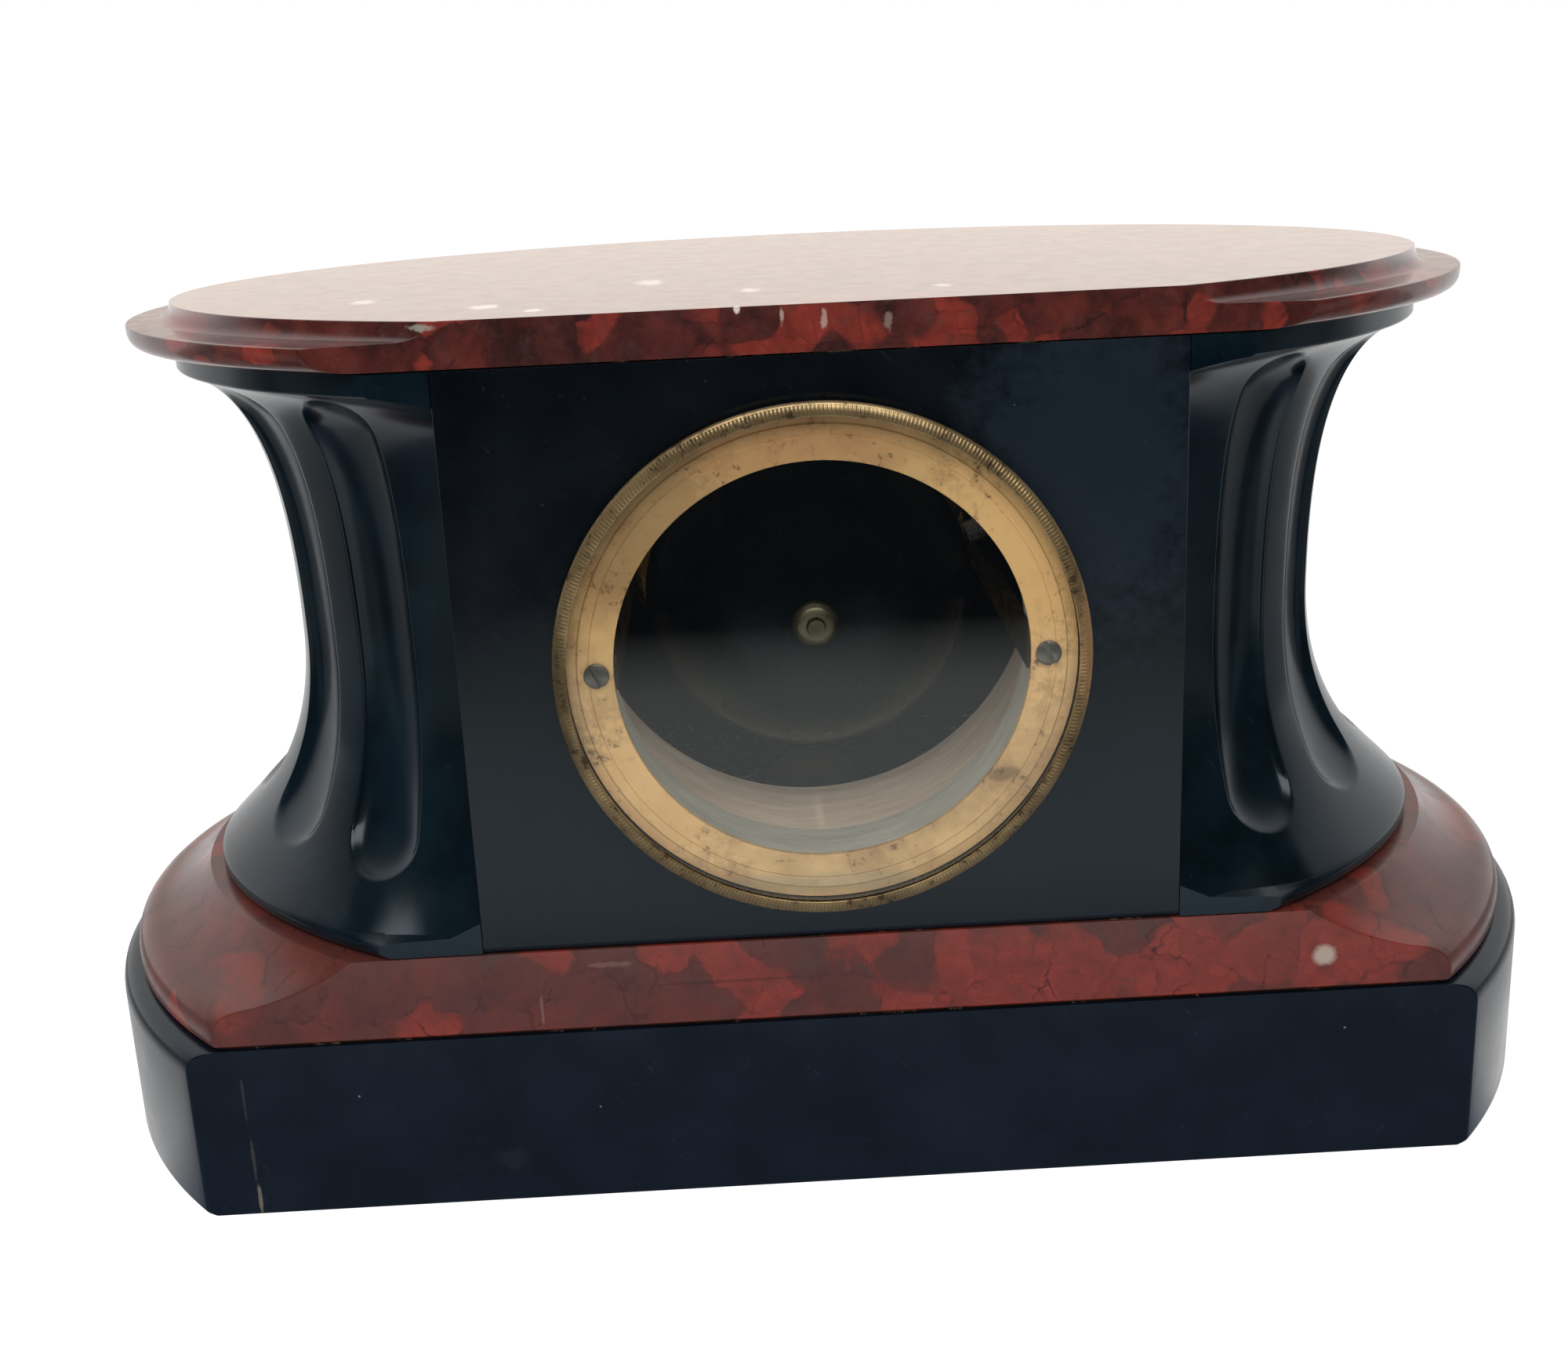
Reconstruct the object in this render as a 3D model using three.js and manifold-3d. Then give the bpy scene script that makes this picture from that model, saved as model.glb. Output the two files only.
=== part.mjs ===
// Striking mantel clock of black slate and red marble: an oval case cut flat across the back,
// with fluted, waisted ends, a glazed dial in front and a glazed, knurled cover over the bell behind.
// Millimetres, +Z up. The dial looks along -Y, the flat back along +Y, and X runs along the clock.
// The origin lies on the underside of the plinth, below the middle of the oval.

import * as THREE from 'three';
import { mergeVertices } from 'three/addons/utils/BufferGeometryUtils.js';
import Module from 'manifold-3d';

const wasm = await Module();
wasm.setup();

// Stones of the case
const OVAL_HALF_LENGTH = 135.5; // foot of the body, half of the long axis
const OVAL_HALF_DEPTH = 82.5;
const BACK_CUT = 20.1; // how much of the oval is cut away to make the flat back
const FRONT_SETBACK = 3.217; // face of the front panel behind the head band's corners
const BED_GAP = 0.3; // bedding joint between two stones
const RUNNING_GAP = 0.3; // between pieces that move past one another
const SEAT_GAP = 0.05; // between two pieces screwed or pressed hard together
const OVERRUN = 1; // how far a cutting or joined shape runs past the face it meets
const PLINTH_HEIGHT = 37.4;
const PLINTH_REACH = 24; // how far the plinth stands out beyond the body's foot
const PLINTH_EDGE_ROUND = 4.8;
const MOULDING_HEIGHT = 17.8;
const MOULDING_FOOT_REACH = 20;
const MOULDING_HEAD_REACH = 3;
const MOULDING_FOOT_FILLET = 2.3; // upright edge at the bottom of the moulding
const MOULDING_BREAK_REACH = 15; // where the hollow gives way to the round
const MOULDING_BREAK_RISE = 8.8;
const DOOR_FOOT_ROOM = 2.1; // between the foot band and the dial's door
const DOOR_HEAD_ROOM = 5.6; // between the door and the head band
const FOOT_BAND_HEIGHT = 6.7;
const HEAD_BAND_HEIGHT = 4.3;
const HEAD_BAND_INSET = 3.8;
const WAIST_INSET = 22.9;
const WAIST_RISE = 52.2; // height of the narrowest part above the body's foot
const SLAB_HEIGHT = 8.7;
const SLAB_HALF_LENGTH = 141;
const SLAB_HALF_DEPTH = 81.4;
const SLAB_UNDERCUT = 4.3; // the rounded underside draws in this far
const SLAB_LIP_HEIGHT = 1.2;
const SLAB_COVE_WIDTH = 9.2;
const SLAB_COVE_HEIGHT = 3.8;
const PANEL_HALF_WIDTH = 68.5;
const FRONT_PANEL_THICKNESS = 18;
const BACK_PANEL_THICKNESS = 16;
const WELL_HALF_LENGTH = 26; // opening in the base for the pendulum bob
const WELL_DEPTH = 22;
const WELL_FLOOR_GAP = 3.5; // below the end of the pendulum
const LINING_BORE = 49; // round bore of the plaster behind the back panel
const LINING_SETBACK = 10.4; // front of the lining behind the middle of the pendulum

// Flutes of the two ends
const FLUTES = 5;
const FLUTE_PITCH = 23.7; // along the oval at the waist
const FLUTE_HALF_WIDTH = 7.6;
const FLUTE_DEPTH = 3.2;
const FLUTE_FOOT = 13; // above the body's foot
const FLUTE_HEAD = 109.5;
const PLAIN_MARGIN = 9; // spacing of the plain part beyond the last flute
const FLUTE_SPLAY = 1.3; // the flutes fan out faster than the oval's own normals

// Rear ring, straps and cover
const BACK_HOLE_RADIUS = 41;
const BACK_HOLE_DEPTH = 12; // behind it the panel is bored out as wide as the lining
const BACK_RING_INNER = 39.1;
const BACK_RING_OUTER = 48;
const BACK_RING_THICKNESS = 1;
const STRAP_OFFSET = 38.5; // inner face of a strap, from the axis
const STRAP_THICKNESS = 2;
const STRAP_WIDTH = 7;
const STRAP_LUG_LENGTH = 4.5; // the bent ends reach outwards this far
const STRAP_LUG_THICKNESS = 3;
const STRAP_SCREW_OFFSET = 42.3;
const SCREW_HEAD_RADIUS = 2.4;
const SCREW_HEAD_HEIGHT = 0.9;
const SCREW_SHANK_RADIUS = 1.1;
const SCREW_SLOT = 0.7;
const COVER_RADIUS = 50;
const COVER_DEPTH = 4.3;
const COVER_LIP = 2.3;
const COVER_LIP_THICKNESS = 0.7;
const COVER_SKIRT = 1.5;
const COVER_EDGE = 0.6;
const GLASS_THICKNESS = 1.2;

// Dial, hands and front door
const DOOR_RADIUS = 48.5;
const DOOR_DEPTH = 8;
const DOOR_WALL = 1.6;
const DOOR_SIGHT_RADIUS = 42.5;
const DOOR_EDGE = 2; // height of the rounded outer edge
const DOOR_RIM = 3; // width of the flat rim in front
const DOOR_GLASS_DEPTH = 3; // glass behind the rim
const FRONT_HOLE_RADIUS = 46.3;
const RING_TUBE_OUTER = 46;
const RING_TUBE_WALL = 1.8;
const RING_TUBE_LENGTH = 12;
const RING_FLANGE_RADIUS = 48;
const RING_FLANGE_THICKNESS = 2;
const DIAL_SETBACK = 1.5; // dial face behind the panel's face
const DIAL_THICKNESS = 1.5;
const DIAL_LEDGE = 2.2;
const DIAL_CENTRE_HOLE = 4.1;
const DIAL_FOOT_RADIUS = 1.2;
const DIAL_FOOT_CIRCLE = 34;
const HINGE_OFFSET = 51;
const HINGE_RADIUS = 1.9;
const HINGE_PIN_RADIUS = 0.7;
const HINGE_KNUCKLE = 6;
const HINGE_SINK = 0.4; // the knuckles reach this far behind the ring's face
const HINGE_TAB = 1.6;
const HAND_THICKNESS = 0.8;
const HAND_ROOM = 1.1; // between the dial and the hour hand, and between the two hands
const HAND_SHANK = 0.9;
const HAND_BOSS = 1.5; // width of the boss round the hand's hole
const HAND_HOUR_AT = 10;
const HAND_MINUTE_AT = 10;
const MOON_RIM = 0.9;
const MOON_RADIUS = 2.5;
const HOUR_MOON_AT = 16.3;
const MINUTE_MOON_AT = 24.5;
const COLLET_RADIUS = 2.6;
const COLLET_HEIGHT = 1.2;
const HOUR_HAND_LENGTH = 24;
const MINUTE_HAND_LENGTH = 36;
const WINDING_HOLE_RADIUS = 3.4;

// Movement
const PLATE_RADIUS = 38;
const PLATE_THICKNESS = 2.5;
const PLATE_GAP = 36;
const DIAL_TO_PLATE = 12; // room for the motion work
const PILLAR_RADIUS = 2.4;
const PILLAR_CIRCLE = 35;
const PILLAR_DIRECTIONS = [22, 158, 257, 283]; // degrees round the plates
const ARBOR_RADIUS = 0.8;
const PIVOT_CLEARANCE = 0.2; // between an arbor and its hole
const WHEEL_THICKNESS = 2;
const WHEEL_ROOM = 1; // between a wheel and the plate or wheel next to it
const THIRD_DEPTH = 10; // behind the front plate
const ESCAPE_DEPTH = 18;
const LOCKING_DEPTH = 20;
const PINION_LENGTH = 3.4;
const WHEEL_TEETH = 24;
const PINION_LEAVES = 6;
const BARREL_TEETH = 33;
const BARREL_MODULE = 1.0;
const SECOND_MODULE = 1.032;
const CENTRE_MODULE = 1.026;
const THIRD_MODULE = 0.853;
const PIN_MODULE = 0.893;
const LOCKING_MODULE = 0.667;
const GOING_ACROSS = 19; // going barrel beside the centre
const GOING_DROP = 12; // and below it
const STRIKE_ACROSS = 20;
const STRIKE_DROP = 11;
const BARREL_DRUM_RADIUS = 15.2;
const BARREL_WALL = 1.2;
const BARREL_ARBOR_RADIUS = 2.4;
const WINDING_SQUARE = 3.4;
const SPRING_TURNS = 3;
const SPRING_STRIP = 0.9;
const RATCHET_RADIUS = 8.5;
const RATCHET_TEETH = 12;
const RATCHET_TOOTH = 1.8;
const RATCHET_THICKNESS = 1.6;
const TOOTH_RAKE = 0.06; // undercut of ratchet and escape teeth, in radians
const CLICK_RISE = 13; // click pivot above its ratchet's arbor
const CLICK_ACROSS = 6.5; // and beside it
const CLICK_BOSS = 1.8;
const CLICK_NOSE = 1;
const PIN_FROM_CENTRE = 16.4;
const LOCKING_DIRECTION = 120; // degrees, from the pin wheel
const FLY_DIRECTION = 53; // degrees, from the locking wheel
const ESCAPE_RISE = 23; // escape arbor above the centre
const ESCAPE_RADIUS = 8.5;
const ESCAPE_TEETH = 24;
const ESCAPE_TOOTH = 1.7;
const ESCAPE_THICKNESS = 1.5;
const PALLET_RISE = 35.2;
const PALLET_CLEARANCE = 0.8; // room for the pallets' swing past the resting teeth
const PALLET_ARCH = 1.9;
const PALLET_REACH = 0.75; // where the arch ends round the escape wheel, in radians
const MINUTE_WHEEL_RISE = 10.5;
const CANNON_LEAVES = 8;
const MINUTE_WHEEL_TEETH = 24;
const MINUTE_PINION_LEAVES = 6;
const HOUR_WHEEL_TEETH = 24;
const CANNON_RADIUS = 1.9;
const HOUR_PIPE_RADIUS = 3.1;
const FLY_HALF_WIDTH = 4.6;
const FLY_LENGTH = 8;
const FLY_THICKNESS = 1;
const FLY_SETBACK = 5; // behind the locking wheel
const TOOTH_ADDENDUM = 0.8; // in modules
const TOOTH_DEDENDUM = 1.1;
const TOOTH_ROOT_SHARE = 0.5; // half of a wheel tooth's root, as a share of the tooth pitch
const LEAF_ROOT_SHARE = 0.24; // and of a pinion leaf's

// Pendulum, hammer and bell
const COCK_HALF_SPAN = 9.5;
const COCK_BAR = 3;
const COCK_HEIGHT = 4;
const COCK_FOOT_DROP = 6; // the feet reach down on to the rear plate
const PENDULUM_SETBACK = 10; // pendulum plane behind the rear plate
const SUSPENSION_LENGTH = 9;
const SUSPENSION_THICKNESS = 0.6;
const SUSPENSION_WIDTH = 4;
const PENDULUM_LENGTH = 90; // suspension to the middle of the bob
const ROD_RADIUS = 1.1;
const BOB_RADIUS = 12;
const BOB_THICKNESS = 7;
const RATING_NUT_RADIUS = 3;
const RATING_NUT_HEIGHT = 4;
const CRUTCH_DROP = 27;
const CRUTCH_SETBACK = 1.5;
const CRUTCH_THICKNESS = 1;
const CRUTCH_WIDTH = 2.4;
const FORK_GAP = 0.45; // between the pendulum rod and each tine of the fork
const FORK_TINE = 1;
const BELL_RADIUS = 35;
const BELL_DEPTH = 20;
const BELL_WALL = 1.5;
const BELL_SETBACK = 22.4; // top of the bell in front of the flat back
const BELL_NUT_RADIUS = 4.6;
const BELL_NUT_HEIGHT = 3;
const STAND_RADIUS = 2;
const STAND_COLLAR = 2;
const STAND_FOOT_ACROSS = 14;
const STAND_FOOT_DROP = 14;
const HAMMER_ACROSS = 34; // hammer arbor beside the centre
const HAMMER_UP = 4; // and above it
const HAMMER_STRIKES_AT = 160; // where the head meets the bell's rim, in degrees round the bell
const HAMMER_HEAD_RADIUS = 2.6;
const HAMMER_WIRE_SETBACK = 5; // where the wire turns, behind the rear plate
const HAMMER_GAP = 0.5; // the head rests this far from the bell
const HAMMER_HEAD_LENGTH = 7;

// How finely the round pieces are faceted
const OVAL_SIDES = 34;
const RING_SIDES = 28;
const BELL_SIDES = 16;
const DRUM_SIDES = 12;
const SMALL_SIDES = 10;
const PIVOT_SIDES = 6;

// Levels worked out from the sizes above
const mouldingFoot = PLINTH_HEIGHT + BED_GAP;
const bodyFoot = mouldingFoot + MOULDING_HEIGHT + BED_GAP;
const axisHeight = bodyFoot + FOOT_BAND_HEIGHT + DOOR_FOOT_ROOM + DOOR_RADIUS;
const bodyHead = axisHeight + DOOR_RADIUS + DOOR_HEAD_ROOM + HEAD_BAND_HEIGHT;
const slabFoot = bodyHead + BED_GAP;
const slabHead = slabFoot + SLAB_HEIGHT;
const backPlane = OVAL_HALF_DEPTH - BACK_CUT;
const bandCorner = PANEL_HALF_WIDTH / (OVAL_HALF_LENGTH - HEAD_BAND_INSET);
const bandDepth = (OVAL_HALF_DEPTH - HEAD_BAND_INSET) * Math.sqrt(1 - bandCorner * bandCorner);
const frontPlane = bandDepth - FRONT_SETBACK;
const dialFront = -frontPlane + DIAL_SETBACK;
const dialBack = dialFront + DIAL_THICKNESS;
const plateFront = dialBack + DIAL_TO_PLATE;
const trainFront = plateFront + PLATE_THICKNESS;
const trainBack = trainFront + PLATE_GAP;
const plateBack = trainBack + PLATE_THICKNESS;
const pendulumPlane = plateBack + PENDULUM_SETBACK;
const motionBack = plateFront - WHEEL_ROOM;
const motionFront = motionBack - WHEEL_THICKNESS;
const hourBack = motionFront - WHEEL_ROOM;
const hourFront = hourBack - WHEEL_THICKNESS;
const hourHandFront = dialFront - HAND_ROOM - HAND_THICKNESS;
const minuteHandFront = hourHandFront - HAND_ROOM - HAND_THICKNESS;
const handsFront = minuteHandFront - COLLET_HEIGHT;
const bellTop = backPlane - BELL_SETBACK;
const bellMouth = bellTop - BELL_DEPTH;
const suspension = axisHeight + PALLET_RISE;
const springFoot = suspension - SUSPENSION_LENGTH;
const bobHeight = suspension - PENDULUM_LENGTH;
const nutTop = bobHeight - BOB_RADIUS - RUNNING_GAP;
const nutFoot = nutTop - RATING_NUT_HEIGHT;
const wellFloor = nutFoot - OVERRUN - WELL_FLOOR_GAP;

// Finishes
function finish(color, roughness, metalness) {
  return new THREE.MeshStandardMaterial({ color, roughness, metalness });
}

const slate = finish('#11181f', 0.3, 0);
const redMarble = finish('#63281f', 0.25, 0);
const brass = finish('#b48a42', 0.4, 1);
const tarnishedBrass = finish('#6b5a36', 0.5, 1);
const steel = finish('#8a8c90', 0.35, 1);
const bluedSteel = finish('#1c2540', 0.3, 1);
const bellBronze = finish('#2c2a28', 0.25, 1);
const plaster = finish('#8f8672', 0.95, 0);
const enamel = finish('#f1ede2', 0.2, 0);
const clearGlass = finish('#dfe6e4', 0.05, 0);
clearGlass.transparent = true;
clearGlass.opacity = 0.25;

// Small tools: closed, outward-facing geometry, and cutting and joining of solids
function closed(geometry) {
  let welded = geometry.clone();
  welded.deleteAttribute('normal');
  welded.deleteAttribute('uv');
  welded = mergeVertices(welded, 1e-4);
  const at = welded.getAttribute('position');
  const corner = (i) => new THREE.Vector3().fromBufferAttribute(at, welded.index.getX(i));
  let volume = 0;
  for (let i = 0; i < welded.index.count; i += 3) {
    volume += corner(i).dot(corner(i + 1).cross(corner(i + 2)));
  }
  if (volume < 0) {
    welded.setIndex(Array.from(welded.index.array).reverse());
  }
  return welded;
}

function solidOf(geometry) {
  const welded = closed(geometry);
  return new wasm.Manifold(new wasm.Mesh({
    numProp: 3,
    vertProperties: new Float32Array(welded.getAttribute('position').array),
    triVerts: new Uint32Array(welded.index.array),
  }));
}

function geometryOf(solid) {
  const mesh = solid.getMesh();
  const geometry = new THREE.BufferGeometry();
  geometry.setAttribute('position', new THREE.BufferAttribute(mesh.vertProperties, 3));
  geometry.setIndex(Array.from(mesh.triVerts));
  return geometry;
}

function join(first, ...others) {
  return geometryOf(others.reduce((whole, next) => whole.add(solidOf(next)), solidOf(first)));
}

function cut(first, ...tools) {
  return geometryOf(tools.reduce((rest, tool) => rest.subtract(solidOf(tool)), solidOf(first)));
}

function box(x0, x1, y0, y1, z0, z1) {
  return new THREE.BoxGeometry(x1 - x0, y1 - y0, z1 - z0)
    .translate((x0 + x1) / 2, (y0 + y1) / 2, (z0 + z1) / 2);
}

// The same on the +X or the -X side, from near to far of the middle
function sideBox(side, near, far, ...rest) {
  return box(Math.min(side * near, side * far), Math.max(side * near, side * far), ...rest);
}

// A rod along Y; x and z are measured from the movement's axis
function rod(radius, y0, y1, x = 0, z = 0, sides = SMALL_SIDES) {
  return new THREE.CylinderGeometry(radius, radius, y1 - y0, sides)
    .translate(x, (y0 + y1) / 2, axisHeight + z);
}

// A flat piece cut to an outline in the plane of the dial
function plate(outline, y0, y1, x = 0, z = 0, curveSegments = SMALL_SIDES) {
  return new THREE.ExtrudeGeometry(outline, { depth: y1 - y0, bevelEnabled: false, curveSegments })
    .rotateX(Math.PI / 2)
    .translate(x, y1, axisHeight + z);
}

// A turned piece about a line along Y, from a profile of [radius, y] points
function turned(profile, sides = RING_SIDES, x = 0, z = 0) {
  const points = profile.map(([radius, y]) => new THREE.Vector2(radius, y));
  if (profile[0][0] > 0) {
    points.push(points[0].clone());
  }
  return new THREE.LatheGeometry(points, sides).translate(x, 0, axisHeight + z);
}

function turnedRing(inner, outer, y0, y1, sides = RING_SIDES, x = 0, z = 0) {
  return turned([[inner, y0], [outer, y0], [outer, y1], [inner, y1]], sides, x, z);
}

function roundHole(radius, x = 0, z = 0, sides = PIVOT_SIDES) {
  const hole = new THREE.Path();
  for (let k = 0; k <= sides; k++) {
    const angle = (2 * Math.PI * k) / sides;
    const spot = [x + radius * Math.cos(angle), z + radius * Math.sin(angle)];
    if (k === 0) hole.moveTo(...spot);
    else hole.lineTo(...spot);
  }
  return hole;
}

function roundOutline(radius, sides) {
  return new THREE.Shape(roundHole(radius, 0, 0, sides).getPoints());
}

const clock = new THREE.Group();
const goingBarrel = { x: GOING_ACROSS, z: -GOING_DROP };
const strikeBarrel = { x: -STRIKE_ACROSS, z: -STRIKE_DROP };

function piece(name, geometry, material) {
  const mesh = new THREE.Mesh(closed(geometry), material);
  mesh.name = name;
  clock.add(mesh);
}

// Rings of points stacked into one closed skin with flat ends
function stacked(rings) {
  const count = rings[0].length;
  const positions = rings.flat().flatMap((point) => [point.x, point.y, point.z]);
  const index = [];
  for (let i = 0; i + 1 < rings.length; i++) {
    for (let k = 0; k < count; k++) {
      const a = i * count + k;
      const b = i * count + ((k + 1) % count);
      index.push(a, b, a + count, b, b + count, a + count);
    }
  }
  const last = (rings.length - 1) * count;
  for (let k = 1; k + 1 < count; k++) {
    index.push(0, k + 1, k, last, last + k, last + k + 1);
  }
  const geometry = new THREE.BufferGeometry();
  geometry.setAttribute('position', new THREE.Float32BufferAttribute(positions, 3));
  geometry.setIndex(index);
  return geometry;
}

function ovalRing(halfLength, halfDepth, z) {
  return Array.from({ length: OVAL_SIDES }, (_, k) => {
    const angle = (2 * Math.PI * k) / OVAL_SIDES;
    return new THREE.Vector3(halfLength * Math.cos(angle), halfDepth * Math.sin(angle), z);
  });
}

// A moulded oval slab from a profile of (reach, height), cut flat across the back
function mouldedOval(profile, halfLength, halfDepth) {
  const rings = profile.map(({ x, y }) => ovalRing(halfLength + x, halfDepth + x, y));
  return cut(stacked(rings), behind(backPlane));
}

function behind(y) {
  const far = 2 * (SLAB_HALF_LENGTH + PLINTH_REACH);
  return box(-far, far, y, y + far, -far, far);
}

// Well in the base that the pendulum's bob hangs in, as deep as the pendulum needs
function well() {
  return box(-WELL_HALF_LENGTH, WELL_HALF_LENGTH, pendulumPlane - WELL_DEPTH / 2,
    pendulumPlane + WELL_DEPTH / 2, wellFloor, slabHead);
}

// Plinth: black slate, its top edge rounded over
function plinth() {
  const shoulder = PLINTH_HEIGHT - PLINTH_EDGE_ROUND;
  const profile = new THREE.Path();
  profile.moveTo(PLINTH_REACH, 0);
  profile.lineTo(PLINTH_REACH, shoulder);
  profile.quadraticCurveTo(PLINTH_REACH, PLINTH_HEIGHT, PLINTH_REACH - PLINTH_EDGE_ROUND, PLINTH_HEIGHT);
  return cut(mouldedOval(profile.getPoints(3), OVAL_HALF_LENGTH, OVAL_HALF_DEPTH), well());
}

// Base moulding: red marble, hollow above and rounded below, open in the middle for the bob
function baseMoulding() {
  const head = mouldingFoot + MOULDING_HEIGHT;
  const toe = mouldingFoot + MOULDING_FOOT_FILLET;
  const middle = mouldingFoot + MOULDING_BREAK_RISE;
  const round = MOULDING_FOOT_REACH - MOULDING_BREAK_REACH;
  const hollow = MOULDING_BREAK_REACH - MOULDING_HEAD_REACH;
  const profile = new THREE.Path();
  profile.moveTo(MOULDING_FOOT_REACH, mouldingFoot);
  profile.lineTo(MOULDING_FOOT_REACH, toe);
  profile.bezierCurveTo(MOULDING_FOOT_REACH, (toe + middle) / 2,
    MOULDING_FOOT_REACH - round * 0.3, middle - round * 0.14, MOULDING_BREAK_REACH, middle);
  profile.bezierCurveTo(MOULDING_BREAK_REACH - hollow * 0.33, middle + hollow * 0.08,
    MOULDING_HEAD_REACH + hollow * 0.25, head - hollow * 0.37, MOULDING_HEAD_REACH, head);
  return cut(mouldedOval(profile.getPoints(3), OVAL_HALF_LENGTH, OVAL_HALF_DEPTH), well());
}

// Top slab: red marble, rounded underneath, with a cove round the flat top
function topSlab() {
  const lipFoot = slabHead - SLAB_COVE_HEIGHT - SLAB_LIP_HEIGHT;
  const lipHead = slabHead - SLAB_COVE_HEIGHT;
  const profile = new THREE.Path();
  profile.moveTo(-SLAB_UNDERCUT, slabFoot);
  profile.quadraticCurveTo(0, slabFoot, 0, lipFoot);
  profile.lineTo(0, lipHead);
  profile.quadraticCurveTo(-SLAB_COVE_WIDTH, lipHead, -SLAB_COVE_WIDTH, slabHead);
  return mouldedOval(profile.getPoints(3), SLAB_HALF_LENGTH, SLAB_HALF_DEPTH);
}

// Profile of the body's ends as points of inset against height, from foot to head
function waistProfile() {
  const waist = bodyFoot + WAIST_RISE;
  const bandTop = bodyFoot + FOOT_BAND_HEIGHT;
  const bandFoot = bodyHead - HEAD_BAND_HEIGHT;
  const lower = waist - bandTop;
  const upper = bandFoot - waist;
  const swell = WAIST_INSET - HEAD_BAND_INSET;
  const foot = new THREE.CubicBezierCurve(
    new THREE.Vector2(0, bandTop),
    new THREE.Vector2(-WAIST_INSET * 0.48, bandTop + lower * 0.22),
    new THREE.Vector2(-WAIST_INSET, bandTop + lower * 0.42),
    new THREE.Vector2(-WAIST_INSET, waist),
  );
  const head = new THREE.CubicBezierCurve(
    new THREE.Vector2(-WAIST_INSET, waist),
    new THREE.Vector2(-WAIST_INSET, waist + upper * 0.46),
    new THREE.Vector2(-HEAD_BAND_INSET - swell * 0.85, waist + upper * 0.91),
    new THREE.Vector2(-HEAD_BAND_INSET, bandFoot),
  );
  return [
    new THREE.Vector2(0, bodyFoot),
    ...foot.getPoints(5),
    ...head.getPoints(6).slice(1),
    new THREE.Vector2(-HEAD_BAND_INSET, bodyHead),
  ];
}

// One upright line of the body's end: a spot on the waist and the way it fans out from there
function waistLine(distance) {
  const halfLength = OVAL_HALF_LENGTH - WAIST_INSET;
  const halfDepth = OVAL_HALF_DEPTH - WAIST_INSET;
  const steps = 60;
  let angle = 0;
  for (let k = 0; k < steps; k++) {
    const pace = Math.hypot(halfLength * Math.sin(angle), halfDepth * Math.cos(angle));
    angle += Math.abs(distance) / steps / pace;
  }
  const normal = Math.atan2(Math.sin(angle) / halfDepth, Math.cos(angle) / halfLength);
  const fan = Math.min(normal * FLUTE_SPLAY, Math.PI / 2);
  const side = Math.sign(distance);
  return {
    spot: new THREE.Vector2(halfLength * Math.cos(angle), side * halfDepth * Math.sin(angle)),
    way: new THREE.Vector2(Math.cos(fan), side * Math.sin(fan)),
  };
}

// Where such a line meets the oval of a given inset
function onOval({ spot, way }, inset) {
  const a = OVAL_HALF_LENGTH + inset;
  const b = OVAL_HALF_DEPTH + inset;
  const p = (way.x / a) ** 2 + (way.y / b) ** 2;
  const q = (spot.x * way.x) / a ** 2 + (spot.y * way.y) / b ** 2;
  const r = (spot.x / a) ** 2 + (spot.y / b) ** 2 - 1;
  return (-q + Math.sqrt(q * q - p * r)) / p;
}

// Depth of the flutes: round in section, with round ends
function fluteDepth(distance, z) {
  const reach = ((FLUTES - 1) / 2) * FLUTE_PITCH;
  const nearest = Math.round((distance + reach) / FLUTE_PITCH) * FLUTE_PITCH - reach;
  if (Math.abs(nearest) > reach + FLUTE_PITCH / 2) {
    return 0;
  }
  const foot = bodyFoot + FLUTE_FOOT + FLUTE_HALF_WIDTH;
  const head = bodyFoot + FLUTE_HEAD - FLUTE_HALF_WIDTH;
  const beyond = Math.max(foot - z, z - head, 0);
  const share = Math.hypot(distance - nearest, beyond) / FLUTE_HALF_WIDTH;
  return share < 1 ? FLUTE_DEPTH * Math.sqrt(1 - share * share) : 0;
}

// End block: black slate, from the panels' edge round the oval's end
function endBlock(side) {
  const reach = ((FLUTES - 1) / 2) * FLUTE_PITCH;
  const distances = [];
  for (let k = 0; k < FLUTES; k++) {
    for (const share of [-1, -0.6, 0, 0.6, 1]) {
      distances.push(k * FLUTE_PITCH - reach + share * FLUTE_HALF_WIDTH);
    }
  }
  let plain = reach + FLUTE_HALF_WIDTH;
  while (waistLine(plain).spot.x > PANEL_HALF_WIDTH) {
    plain += PLAIN_MARGIN;
    distances.push(plain);
    distances.unshift(-plain);
  }
  const lines = distances.map(waistLine);
  const rings = waistProfile().map(({ x: inset, y: z }) => lines.map((line, k) => {
    const out = onOval(line, inset) - fluteDepth(distances[k], z);
    const spot = line.spot.clone().addScaledVector(line.way, out);
    return new THREE.Vector3(side * spot.x, spot.y, z);
  }));
  const far = 2 * OVAL_HALF_LENGTH;
  const edge = PANEL_HALF_WIDTH + BED_GAP;
  return cut(
    stacked(rings),
    behind(backPlane),
    sideBox(side, -far, edge, -far, far, 0, far),
  );
}

// Bow-fronted band that carries the body's foot or head moulding across the front panel
function bow(inset, z0, z1) {
  const halfLength = OVAL_HALF_LENGTH + inset;
  const halfDepth = OVAL_HALF_DEPTH + inset;
  const start = Math.acos(PANEL_HALF_WIDTH / halfLength);
  const outline = new THREE.Shape();
  outline.moveTo(PANEL_HALF_WIDTH, frontPlane - OVERRUN);
  outline.absellipse(0, 0, halfLength, halfDepth, start, Math.PI - start, false, 0);
  outline.lineTo(-PANEL_HALF_WIDTH, frontPlane - OVERRUN);
  return new THREE.ExtrudeGeometry(outline, { depth: z1 - z0, bevelEnabled: false, curveSegments: 10 })
    .scale(1, -1, 1)
    .translate(0, 0, z0);
}

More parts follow.
